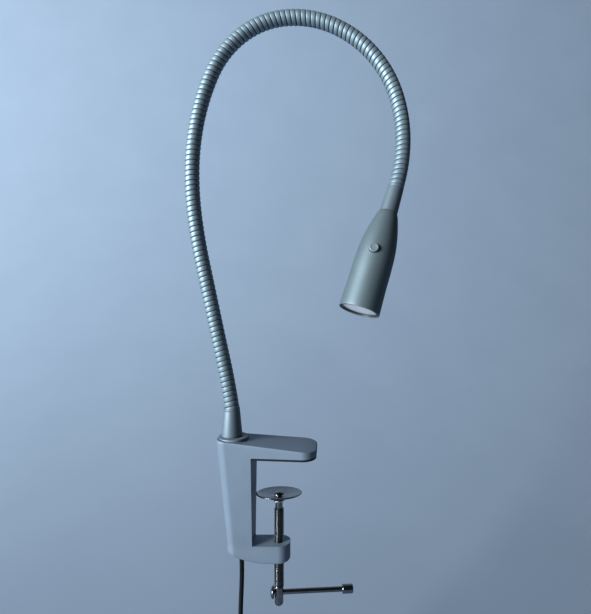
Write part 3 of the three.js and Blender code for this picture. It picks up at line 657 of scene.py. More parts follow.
@dataclass(frozen=True)
class StageCloth(Finish):
    """Pale paper under and behind the lamp."""

    def dress(self, d: Dresser) -> Material:
        """Dresses the paper: a faint mottle and tooth."""
        mottle, tooth = d.noise(6.0, 4.0), d.noise(500.0, 3.0)
        return d.finish(
            Base_Color=d.blend(mottle, self.low, self.high),
            Roughness=self.roughness,
            Normal=d.bump(tooth, 0.2, 0.2),
        )


FINISHES: dict[str, Finish] = {finish.name: finish for finish in (
    SatinPaint("casting_satin", (0.170, 0.205, 0.250), (0.200, 0.235, 0.280), 0.55, 0.4),
    SatinPaint("ferrule_satin", (0.155, 0.188, 0.215), (0.188, 0.220, 0.248), 0.54, 0.6),
    SatinPaint("head_satin", (0.135, 0.168, 0.180), (0.163, 0.196, 0.208), 0.56, 0.6),
    WoundWire("neck_satin", (0.185, 0.235, 0.260), (0.225, 0.275, 0.300), 0.54, 0.6),
    SatinPaint("button_satin", (0.160, 0.195, 0.210), (0.195, 0.225, 0.240), 0.45, 0.5),
    PlatedMetal("chrome", (0.13, 0.13, 0.13), (0.24, 0.24, 0.24), 0.2, 1.0),
    PlatedMetal("nickel", (0.52, 0.50, 0.47), (0.68, 0.66, 0.62), 0.26, 1.0),
    PlatedMetal("spring_steel", (0.34, 0.34, 0.36), (0.48, 0.48, 0.50), 0.32, 1.0),
    PlatedMetal("bare_aluminium", (0.62, 0.63, 0.65), (0.74, 0.75, 0.77), 0.38, 1.0),
    PlatedMetal("brass", (0.52, 0.38, 0.15), (0.68, 0.52, 0.24), 0.3, 1.0),
    Rubber("black_rubber", (0.006, 0.007, 0.009), (0.013, 0.014, 0.017), 0.75),
    Rubber("cord_black", (0.002, 0.003, 0.004), (0.004, 0.005, 0.007), 0.5, pebble=2400.0),
    Rubber("plug_black", (0.010, 0.010, 0.012), (0.020, 0.020, 0.023), 0.5),
    Finish("black_plastic", (0.012, 0.012, 0.014), (0.026, 0.026, 0.030), 0.42),
    CircuitBoard("circuit_board", (0.015, 0.10, 0.055), (0.03, 0.16, 0.08), 0.35),
    Finish("white_board", (0.70, 0.71, 0.72), (0.80, 0.81, 0.82), 0.4),
    Finish("led_yellow", (0.70, 0.58, 0.12), (0.82, 0.70, 0.20), 0.35),
    PlatedMetal("reflector_mirror", (0.80, 0.81, 0.82), (0.90, 0.91, 0.92), 0.14, 1.0),
    FrostedLens("lens_frosted", (0.50, 0.52, 0.55), (0.60, 0.62, 0.65), 0.36),
    Finish("wire_red", (0.40, 0.02, 0.015), (0.55, 0.04, 0.03), 0.4),
)}


@dataclass
class Fitter:
    """Dresses each new piece, ties each one that rides on one body to the frame, and reports it."""

    made: dict[str, Material] = field(default_factory=dict)

    def material(self, slot: str) -> Material:
        """Returns the material of a slot, made at its first use."""
        if slot not in self.made:
            self.made[slot] = FINISHES[slot].material()
        return self.made[slot]

    def dress(self, piece: Object, slot: str) -> None:
        """Gives a new piece its finish, the material of its slot."""
        piece.data.materials.clear()
        piece.data.materials.append(self.material(slot))

    def dress_node(self, node: Object, slot: str) -> None:
        """Gives a CAD node its finish through its object's material slots."""
        if not node.material_slots:
            node.data.materials.append(None)
        for holder in node.material_slots:
            holder.link, holder.material = "OBJECT", self.material(slot)

    def fit(self, piece: Object, slot: str, body: str, *nodes: str) -> Object:
        """Fits a piece that moves with one body.

        Args:
            piece: The new piece.
            slot: The record's material slot.
            body: The body that it rides on.
            *nodes: The CAD nodes that it stands for.

        Returns:
            The piece.
        """
        self.dress(piece, slot)
        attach(piece, body)
        return self.report(piece, nodes)

    def fit_between(
        self, piece: Object, slot: str, bodies: tuple[str, str], ends: Array, *nodes: str
    ) -> Object:
        """Fits a piece that bends between two bodies.

        Args:
            piece: The new piece.
            slot: The record's material slot.
            bodies: The bodies before the start and after the end; not used.
            ends: The start and the end in millimetres, with shape (2, 3).
            *nodes: The CAD nodes that it stands for.

        Returns:
            The piece.
        """
        self.dress(piece, slot)
        start, end = (tuple(float(x) for x in point * MM) for point in ends)
        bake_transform(piece)
        return self.report(piece, nodes)

    def report(self, piece: Object, nodes: Sequence[str]) -> Object:
        """Hides the nodes that a piece stands for and logs the piece."""
        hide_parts(*nodes)
        log.info("%s: %d faces for %s", piece.name, len(piece.data.polygons), ", ".join(nodes))
        return piece


@dataclass
class Assembly:
    """A sub-assembly, which holds its sizes and hands each piece that it builds to the fitter."""

    fitter: Fitter


# ---- neck ----


@dataclass
class NeckLine:
    """The neck's centreline, whose lean towards +X and tilt to the front change evenly in a section."""

    x: float = -38.6
    start_z: float = 38.0
    section: float = 39.8
    start_lean: float = -8.5
    turns: tuple[float, ...] = (
        -3.8, 0.4, -0.1, 4.6, 8.3, 10.7, 12.2, 28.8, 33.8, 28.9, 25.4, 23.6, 17.8, 15.4)
    tilts: tuple[float, ...] = (0, 0, 0, 0, 0, 0, 0.5, 1, 1.5, 2, 3, 5, 8, 11, 13)
    steps: int = 24
    points: Array = field(init=False)

    def __post_init__(self) -> None:
        """Walks the line: each step goes along the heading at its middle."""
        middle = np.arange(self.count * self.steps) + 0.5
        steps = self.heading(middle / self.steps) * (self.section / self.steps)
        start = np.array([[self.x, 0.0, self.start_z]])
        self.points = np.concatenate([start, start + np.cumsum(steps, axis=0)])

    @property
    def count(self) -> int:
        """How many sections the neck has."""
        return len(self.turns)

    @property
    def length(self) -> float:
        """The neck's length."""
        return self.count * self.section

    def angles(self, place: Array) -> tuple[Array, Array]:
        """Returns the turn and tilt in degrees, at places counted in sections."""
        edges = np.arange(self.count + 1)
        totals = self.start_lean + np.concatenate([[0.0], np.cumsum(self.turns)])
        return np.interp(place, edges, totals), np.interp(place, edges, self.tilts)

    def heading(self, place: Array) -> Array:
        """Returns the direction (cos tilt sin turn, -sin tilt, cos tilt cos turn) at places, in sections."""
        turn, tilt = (np.radians(a) for a in self.angles(np.asarray(place, float)))
        return np.stack([np.cos(tilt) * np.sin(turn), -np.sin(tilt), np.cos(tilt) * np.cos(turn)], axis=-1)

    def at(self, distance: Array) -> Array:
        """Returns the points at distances from the foot, carried on straight past either end."""
        distance = np.asarray(distance, float)
        inside = np.clip(distance, 0.0, self.length)
        marks = np.linspace(0.0, self.length, len(self.points))
        on = np.stack([np.interp(inside, marks, self.points[:, k]) for k in range(3)], axis=-1)
        return on + (distance - inside)[..., None] * self.heading(inside / self.section)

    def bend(self, distance: Array) -> Array:
        """Returns how sharply the line turns, in radians for each millimetre, positive towards +X."""
        place = np.clip(distance / self.section, 0.05, self.count - 0.05)
        ahead, _ = self.angles(place + 0.3)
        behind, _ = self.angles(place - 0.3)
        return np.radians(ahead - behind) / (0.6 * self.section)


@dataclass
class Gooseneck(Assembly):
    """The wound tube: one skin and one length of lead for each bend, from a section's middle to the next."""

    line: NeckLine
    radius: float = 6.0
    bore: float = 4.1
    pitch: float = 4.14
    groove_width: float = 0.5
    groove_depth: float = 0.5
    crown: float = 0.16
    rows_per_turn: int = 20
    sides: int = 56
    socket_depth: float = 1.0
    lead_radius: float = 1.5
    lead_foot: float = -34.0
    lead_end: float = 31.0

    def body(self, section: int) -> str:
        """Returns the body that a section, counted from 1, belongs to."""
        if section == 1:
            return "clamp"
        return "head" if section == self.line.count else f"neck_link_{section:02d}"

    def surface(self, distance: Array) -> tuple[Array, Array]:
        """Works out the wound surface's radius.

        A turn's place is distance / pitch less the angle's share of a circle. Near a whole number lies the
        groove, which a raised cosine sinks. A parabola crowns the band between grooves. On the outside of a
        bend the pitch grows by 1 + bend x radius x cosine while the band keeps its width, so that the groove
        opens there.

        Args:
            distance: Distances along the neck, one for each ring.

        Returns:
            The radius, and how deep in a groove each point lies from 0 to 1, both with shape (rings, sides).
        """
        angle = circle(self.sides)
        outwards = -np.sin(angle)[None, :]
        local = self.pitch * (1.0 + self.line.bend(distance)[:, None] * self.radius * outwards)
        width = np.clip(local - (self.pitch - self.groove_width), 0.3, None) / local
        phase = distance[:, None] / self.pitch - angle[None, :] / (2.0 * np.pi)
        off = np.abs(phase - np.round(phase))
        groove = 0.5 + 0.5 * np.cos(np.pi * np.clip(off / width, 0.0, 1.0))
        band = np.clip((off - 0.5 * width) / (0.5 - 0.5 * width), 0.0, 1.0)
        crowned = self.radius - self.crown * (1.0 - band) ** 2
        return crowned - self.groove_depth * groove, groove

    def skin_piece(self, name: str, start: float, end: float) -> Object:
        """Makes the tube between two distances, with its bore.

        Args:
            name: The piece's name.
            start: Where it starts along the neck.
            end: Where it ends.

        Returns:
            The piece, with its groove attribute.
        """
        rows = int(round((end - start) / self.pitch * self.rows_per_turn)) + 1
        distance = np.linspace(start, end, rows)
        radius, groove = self.surface(distance)
        path = self.line.at(distance)
        outer = tube_rings(path, radius, self.sides)
        inner = tube_rings(path, self.bore, self.sides)[:: -self.rows_per_turn // 2]
        piece = skin(name, np.concatenate([outer, inner]), wrapped=True, shading=Shading.SOFT)
        self.mark_grooves(piece, outer, groove)
        return piece

    def mark_grooves(self, piece: Object, outer: Array, groove: Array) -> None:
        """Stores how deep in a groove each point lies.

        The mesh sorts its points, so each value goes by its point's rounded place, and the bore has none.

        Args:
            piece: The neck piece.
            outer: The outer rings in millimetres.
            groove: The depth at each of their points, from 0 to 1.
        """
        own = np.zeros(len(piece.data.vertices) * 3, np.float32)
        piece.data.vertices.foreach_get("co", own)
        known = {tuple(k): v for k, v in zip(self.keys(outer.reshape(-1, 3) * MM), groove.reshape(-1))}
        values = np.array([known.get(tuple(k), 0.0) for k in self.keys(own.reshape(-1, 3))], np.float32)
        # The neck's finish paints shade into the grooves by these depths.
        piece.data.attributes.new("groove", "FLOAT", "POINT").data.foreach_set("value", values)

    @staticmethod
    def keys(points: Array) -> list[list[int]]:
        """Returns the points rounded to 2 micrometres, as whole numbers."""
        return np.round(points * GROOVE_STEPS).astype(np.int64).tolist()

    def build(self) -> None:
        """Builds the thirteen skins and the thirteen lengths of lead."""
        section, last = self.line.section, self.line.count - 1
        for i in range(1, self.line.count):
            middles = np.array([i - 0.5, i + 0.5]) * section
            start = -self.socket_depth if i == 1 else middles[0]
            end = self.line.length + self.socket_depth if i == last else middles[1]
            bodies = (self.body(i), self.body(i + 1))
            nodes = [f"neck_section_{n:02d}" for n in (i, i + 1)]
            ends = self.line.at(middles)
            tube = self.skin_piece(f"wound_tube_{i:02d}", start, end)
            self.fitter.fit_between(tube, "neck_satin", bodies, ends, *nodes)
            lead_start = self.lead_foot if i == 1 else start
            lead_stop = self.line.length + self.lead_end if i == last else end
            path = self.lead_path(np.linspace(lead_start, lead_stop, 40))
            lead = skin(f"neck_lead_{i:02d}", tube_rings(path, self.lead_radius, 16))
            self.fitter.fit_between(lead, "cord_black", bodies, ends, "neck_lead")

    def lead_path(self, distance: Array) -> Array:
        """Returns the lead's line, which drops straight down below the neck's foot."""
        on = self.line.at(np.clip(distance, 0.0, None))
        return on + np.minimum(distance, 0.0)[:, None] * UP


# ---- clamp ----


@dataclass
class ClampCasting(Assembly):
    """The C-shaped casting: a tapered column between the wide upper jaw and the round lug of the screw."""

    inner_x: float = -20.6
    underside: float = 1.8
    root_top: float = 11.9
    slope: float = 0.1
    top_left: float = -49.8
    foot_left: float = -41.6
    top_half: float = 14.6
    lug_radius: float = 9.3
    lug_top: float = -70.9
    lug_bottom: float = -85.4
    lug_rise: float = 13.5
    tip_x: float = 31.1
    tip_half: float = 19.5
    tip_corner: float = 11.0
    top_corner: float = 9.0
    foot_corner: float = 7.2
    edge: float = 0.9
    foot_edge: float = 1.6
    boss_x: float = -37.4
    boss_radius: float = 12.3
    boss_top: float = 15.0
    screw_hole: float = 4.3
    socket_x: float = -38.6
    socket_radius: float = 4.0
    cord_x: float = -31.0
    cord_bore: float = 3.2
    elbow_z: float = -46.0
    socket_depth: float = 14.0
    waist: float = -60.0
    wall_heights: tuple[float, ...] = (-50.0, -35.0, -20.0, -8.0)
    throat_corner: float = 0.8
    throat_reach: float = 70.0
    throat_half: float = 40.0
    pad_inset: float = 0.15
    pad_edge: float = 0.4
    bevel: float = 0.35
    arc: int = 14
    side: int = 30

    def jaw_top(self, x: Array) -> Array:
        """Returns the height of the jaw's sloping top."""
        return self.root_top - self.slope * (x - self.inner_x)

    def foot(self, x: Array) -> Array:
        """Returns the height of the lug's underside, which climbs by share^1.8 towards the column's back."""
        left = self.foot_left - self.lug_radius
        share = np.clip((x + self.lug_radius) / (left + self.lug_radius), 0.0, 1.0)
        return self.lug_bottom + self.lug_rise * share**1.8

    def outline(self, z: Array, inset: Array) -> Array:
        """Works out the casting's plan at a height: four rounded corners joined by straight sides.

        The left end tapers evenly from top to foot. The right end is the lug's half circle below, the jaw's
        tip above, and passes evenly from one to the other where the throat is cut away.

        Args:
            z: The height of each point, which broadcasts against (rings, points).
            inset: How far inside the plan each ring lies.

        Returns:
            The x and y of each point, with shape (rings, points, 2).
        """
        lug, height = self.lug_radius, z - self.lug_top
        rise = np.clip(height / (self.jaw_top(self.socket_x) - self.lug_top), 0.0, 1.0)
        jaw = np.clip(height / (self.underside - self.lug_top), 0.0, 1.0)
        left = mix(self.foot_left, self.top_left, rise) + inset
        half_left = mix(lug, self.top_half, rise) - inset
        corner_left = mix(self.foot_corner, self.top_corner, rise) - inset
        right = mix(lug, self.tip_x, jaw) - inset
        half_right = mix(lug, self.tip_half, jaw) - inset
        corner_right = mix(lug, self.tip_corner, jaw) - inset - 0.01
        first, second = np.radians(np.linspace([180.0, 270.0], [270.0, 360.0], self.arc + 1)).T
        between = np.linspace(0.0, 1.0, self.side + 2)[1:-1]
        front = np.stack([
            np.concatenate([np.ones(self.arc + 1), 1.0 - between, np.zeros(self.arc + 1)]),
            np.concatenate([np.cos(first), 0.0 * between, np.cos(second)]),
            np.concatenate([np.sin(first), 0.0 * between - 1.0, np.sin(second)]),
        ])
        at_left, cos, sin = np.concatenate([front, front[:, ::-1]], axis=1)
        mirror = np.repeat([-1.0, 1.0], front.shape[1])
        at_right = 1.0 - at_left
        corner = corner_left * at_left + corner_right * at_right
        x = (left + corner_left) * at_left + (right - corner_right) * at_right + corner * cos
        half = half_left * at_left + half_right * at_right
        y = mirror * (half - corner - corner * sin)
        return np.stack(np.broadcast_arrays(x, y), axis=-1)

    def body_rings(self) -> Array:
        """Works out the casting's outer skin before the throat is cut.

        Each ring keeps a share of the way from the curved underside to a level line, or from there to the
        sloping top, and quarter circles round both edges. A height depends on its own x, so plan and height
        are worked out in turn until they agree.

        Returns:
            The rings, with shape (rings, points, 3).
        """
        foot_inset, foot_lift = edge_round(self.foot_edge, 6)
        top_inset, top_drop = edge_round(self.edge, 6)
        level, jaw = np.linspace(0.0, 1.0, 9)[1:], np.linspace(0.0, 1.0, 5)[:-1]
        walls = np.array([*self.wall_heights, self.underside - 0.5])

        def heights(x: Array) -> Array:
            """Returns the heights of all rings at the points of one ring, with shape (rings, points)."""
            top, below = self.jaw_top(x), self.foot(x) + foot_lift[:, None]
            rise = mix(below[-1], self.waist, level[:, None])
            walls_up = np.broadcast_to(walls[:, None], (len(walls), x.shape[-1]))
            side = mix(self.underside, top - self.edge, jaw[:, None])
            above = (top - top_drop[:, None])[::-1]
            return np.concatenate([below, rise, walls_up, side, above])

        straight = np.zeros(len(level) + len(walls) + len(jaw))
        inset = np.concatenate([foot_inset, straight, top_inset[::-1]])[:, None]
        z = heights(np.full((1, 2 * (2 * (self.arc + 1) + self.side)), self.socket_x))
        for _ in range(4):
            plan = self.outline(z, inset)
            z = np.stack([heights(row[None, :])[k] for k, row in enumerate(plan[..., 0])])
        return np.concatenate([plan, z[..., None]], axis=-1)

    def drill(self, name: str, radius: float, foot: Sequence[float], top: Sequence[float]) -> Object:
        """Makes a round cutter between two points."""
        return skin(name, tube_rings(np.linspace(foot, top, 3), radius, 48))

    def throat(self) -> Object:
        """Makes the cutter of the throat, a block with rounded edges where it meets the column."""
        left, right, foot, top = self.inner_x, self.throat_reach, self.lug_top, self.underside
        block = [[left, foot], [right, foot], [right, top], [left, top]]
        side = rounded(block, self.throat_corner, loop=True)
        ring, out = np.stack([side[:, 0], np.zeros(len(side)), side[:, 1]], axis=-1), self.throat_half * AHEAD
        return skin("throat", np.stack([ring - out, ring + out]))

    def boss(self) -> Object:
        """Makes the low round boss under the ferrule, with a soft rim."""
        r, foot, top = self.boss_radius, 10.0, self.boss_top
        return turned("boss", upright(self.boss_x), [[0, foot], [r, foot], [r, top], [0, top]], 0.7, 96)

    def pad(self) -> Object:
        """Makes the pad, which follows the jaw's plan up to the column, with rounded edges."""
        inset, lift = edge_round(self.pad_edge, 5)
        z = np.concatenate([lift, (self.underside - lift - 0.02)[::-1]])[:, None]
        inset = np.concatenate([inset, inset[::-1]])[:, None] + self.pad_inset
        plan = self.outline(np.full_like(z, self.underside), inset)
        x = np.maximum(plan[..., 0], self.inner_x + GAP)
        return skin("jaw_pad_skin", np.stack(np.broadcast_arrays(x, plan[..., 1], z), axis=-1))

    def build(self) -> None:
        """Builds the casting and the pad under its jaw."""
        foot, cord, socket = self.boss_top - self.socket_depth, self.cord_x, self.socket_x
        drills = (
            ("screw_drill", self.screw_hole, [0, 0, -95.0], [0, 0, -60.0]),
            ("socket_drill", self.socket_radius, [socket, 0, foot], [socket, 0, 20.0]),
            ("cord_drill", self.cord_bore, [cord, 0, -95.0], [cord, 0.0, self.elbow_z]),
            ("passage_drill", self.cord_bore, [cord, 0, self.elbow_z - 3.0], [socket, 0, foot + 3.0]),
        )
        casting = combined(skin("clamp_casting_skin", self.body_rings()), [
            ("UNION", self.boss()),
            ("DIFFERENCE", self.throat()),
            *(("DIFFERENCE", self.drill(*drill)) for drill in drills),
        ])
        bevel = casting.modifiers.new("soft_edges", "BEVEL")
        bevel.width, bevel.segments, bevel.limit_method = self.bevel * MM, 2, "ANGLE"
        bevel.angle_limit, bevel.use_clamp_overlap = math.radians(50.0), True
        self.fitter.fit(casting, "casting_satin", "clamp", "clamp_casting")
        self.fitter.fit(self.pad(), "black_rubber", "clamp", "jaw_pad")


@dataclass
class ClampScrew(Assembly):
    """The M8 screw with its plain end, its washer, the dished disc on its swivel, and the tommy bar."""

    radius: float = 4.0
    plain_radius: float = 3.6
    neck_radius: float = 3.0
    tip_z: float = -123.8
    thread_foot: float = -108.0
    thread_top: float = -43.6
    shoulder: float = -38.2
    pitch: float = 1.25
    thread_depth: float = 0.72
    stud_radius: float = 2.2
    washer_radius: float = 4.6
    washer: float = 0.8
    disc_radius: float = 18.8
    disc_thickness: float = 1.4
    disc_dish: float = 3.6
    hub_radius: float = 8.0
    hub_height: float = 1.2
    disc_tilt: float = -8.0
    swivel_play: float = 0.7
    stud_proud: float = 0.9
    cap_radius: float = 4.2
    bar_z: float = -113.0
    bar_radius: float = 2.0
    bar_play: float = 0.45
    bar_length: float = 68.0
    bar_swing: float = 5.0
    bar_droop: float = 0.5
    head_radius: float = 4.9
    head_thickness: float = 3.0
    bar_cap_radius: float = 3.5
    bar_cap_length: float = 9.0
    spigot: float = 1.2
    spigot_length: float = 2.0

    def __post_init__(self) -> None:
        """Works out the bar's frame and the heights of the disc's hub and cap, which clear its tilt."""
        tilt = math.sin(math.radians(abs(self.disc_tilt)))
        self.hub_z = self.shoulder + GAP + self.washer + (self.washer_radius * tilt + GAP)
        self.cap_z = self.hub_z + self.hub_height + self.disc_thickness + self.cap_radius * tilt + GAP
        along = about(2, self.bar_swing) @ about(1, self.bar_droop) @ about(1, 90.0)
        self.bar_frame = Placement(np.array([0.0, 0.0, self.bar_z]), along)

    def shank(self) -> Object:
        """Makes the screw's shank.

        The thread's radius falls from crest to root as a trapezoid of the place z / pitch less the angle's
        share of a circle, and fades out over one pitch at both ends of the thread.

        Returns:
            The shank with the bar's hole through it.
        """
        sides, rows = 48, int((self.thread_top - self.thread_foot) / self.pitch * 12)
        angle = circle(sides)[None, :]
        z = np.linspace(self.thread_foot, self.thread_top, rows)[:, None]
        phase = z / self.pitch - angle / (2.0 * np.pi)
        off = np.abs(phase - np.round(phase)) * 2.0
        fade = np.clip(np.minimum(z - self.thread_foot, self.thread_top - z) / self.pitch, 0.0, 1.0)
        radius = self.radius - self.thread_depth * fade * np.clip((off - 0.14) / 0.72, 0.0, 1.0)
        chamfer = z - self.thread_top + 0.8
        radius = np.minimum(radius, np.where(chamfer > 0.0, self.radius - chamfer, self.radius))
        thread = np.stack(np.broadcast_arrays(radius * np.cos(angle), radius * np.sin(angle), z), axis=-1)
        dome, plain = np.radians(np.linspace(-90.0, 0.0, 10)), self.plain_radius
        foot = np.stack([plain * np.cos(dome), self.tip_z + plain * 0.8 * (1.0 + np.sin(dome))], axis=-1)
        foot = np.concatenate([foot, [[plain, self.thread_foot - 0.5]]])
        neck, stud, stud_top = self.neck_radius, self.stud_radius, self.cap_z + self.stud_proud
        top = rounded([[neck, self.thread_top + 0.1], [neck, self.shoulder], [stud, self.shoulder],
                       [stud, stud_top], [0.0, stud_top]], 0.25)
        rings = np.concatenate([turned_rings(foot, sides), thread, turned_rings(top, sides)])
        reach, bore = 9.0, self.bar_radius + self.bar_play
        hole = turned_rings(np.array([[0, -reach], [bore, -reach], [bore, reach], [0, reach]]), 40)
        drill = skin("bar_hole", self.bar_frame.put(hole))
        return combined(skin("clamp_screw_shank", rings), [("DIFFERENCE", drill)])

    def disc(self) -> Object:
        """Makes the pressed disc: a flat hub, a dished web and a rolled rim."""
        bore, hub = self.stud_radius + self.swivel_play, self.hub_radius
        t, lift = self.disc_thickness, self.hub_height
        rim, top = self.disc_radius, self.hub_height + self.disc_dish
        frame = Placement(np.array([0.0, 0.0, self.hub_z]), about(0, self.disc_tilt))
        return turned("pressure_disc_skin", frame, [
            [bore, lift], [hub - 1.2, lift], [hub + 1.2, lift + 0.9], [rim - 3.2, top - t],
            [rim - 0.9, top - t], [rim, top - t + 0.7], [rim, top - 0.35], [rim - 0.6, top], [rim - 1.6, top],
            [rim - 2.6, top - 0.35], [rim - 4.6, top - 0.9], [hub + 0.8, lift + t + 0.5],
            [hub - 1.4, lift + t], [bore, lift + t],
        ], 0.5, 96, loop=True, steps=3)

    def build(self) -> None:
        """Builds the screw's pieces."""
        self.fitter.fit(self.shank(), "chrome", "clamp_screw", "clamp_screw")
        rim, bore, foot = self.washer_radius, self.stud_radius + GAP, self.shoulder + GAP
        top = foot + self.washer
        washer = turned("thrust_washer_ring", upright(), [[bore, foot], [rim, foot], [rim, top], [bore, top]],
                        0.2, loop=True)
        self.fitter.fit(washer, "nickel", "screw_foot", "thrust_washer")
        self.fitter.fit(self.disc(), "chrome", "pressure_disc", "pressure_disc")
        cap, r = self.cap_z, self.cap_radius
        hollow = cap + self.stud_proud + GAP
        dome = turned("swivel_cap_dome", upright(), [
            [0, hollow], [bore, hollow], [bore, cap], [r, cap], [r, cap + 0.5], [r * 0.82, cap + 1.35],
            [r * 0.45, cap + 2.0], [0, cap + 2.2]], 0.7, 48)
        self.fitter.fit(dome, "chrome", "clamp_screw", "swivel_cap")
        self.build_bar()

    def build_bar(self) -> None:
        """Builds the tommy bar, its mushroom head and its cap."""
        left = -(self.plain_radius + GAP + self.head_thickness)
        right = left + self.bar_length
        a, b = left + self.head_thickness, right - self.bar_cap_length
        r, s, n = self.bar_radius, self.spigot, self.spigot_length
        h, w, c, hollow = self.head_radius, self.head_thickness, self.bar_cap_radius, self.spigot + GAP
        for name, node, radius, profile in (
            ("tommy_bar_rod", "tommy_bar", 0.25, [
                [0, a - n + GAP], [s, a - n + GAP], [s, a + 0.05], [r, a + 0.05], [r, b - 0.05],
                [s, b - 0.05], [s, b + n - GAP], [0, b + n - GAP]]),
            ("tommy_bar_button", "tommy_bar_head", 0.9, [
                [0, left], [h * 0.55, left + 0.1], [h, left + w * 0.42], [h, left + w * 0.8],
                [h * 0.8, left + w], [hollow, left + w], [hollow, a - n], [0, a - n]]),
            ("tommy_bar_ferrule", "tommy_bar_cap", 0.3, [
                [0, b + n], [hollow, b + n], [hollow, b], [c - 0.3, b], [c, b + 0.5], [c, right - 0.7],
                [c - 0.7, right], [0, right]]),
        ):
            piece = turned(name, self.bar_frame, profile, radius, 48)
            self.fitter.fit(piece, "chrome", "tommy_bar", node)


@dataclass
class LowerFerrule(Assembly):
    """The tapered ferrule between boss and neck, with a foot bead and a socket that takes the tube's end."""

    x: float = -38.6
    foot: float = 15.02
    height: float = 22.9
    base_radius: float = 8.5
    top_radius: float = 6.45
    bore: float = 4.0
    socket_radius: float = 6.1
    socket_depth: float = 1.3

    def build(self) -> None:
        """Builds the ferrule."""
        foot, top = self.foot, self.foot + self.height
        base, rim, bore, stop = self.base_radius, self.top_radius, self.bore, top - self.socket_depth
        piece = turned("lower_ferrule_skin", upright(self.x), [
            [bore, foot], [base - 0.6, foot], [base - 0.6, foot + 0.6], [base, foot + 0.7],
            [rim + 0.12, top - 2.4], [rim - 0.18, top - 2.15], [rim - 0.18, top - 1.9],
            [rim + 0.05, top - 1.7], [rim + 0.02, top], [self.socket_radius, top],
            [self.socket_radius, stop], [bore, stop],
        ], 0.3, 80, loop=True)
        self.fitter.fit(piece, "ferrule_satin", "clamp", "lower_ferrule")


# ---- head ----


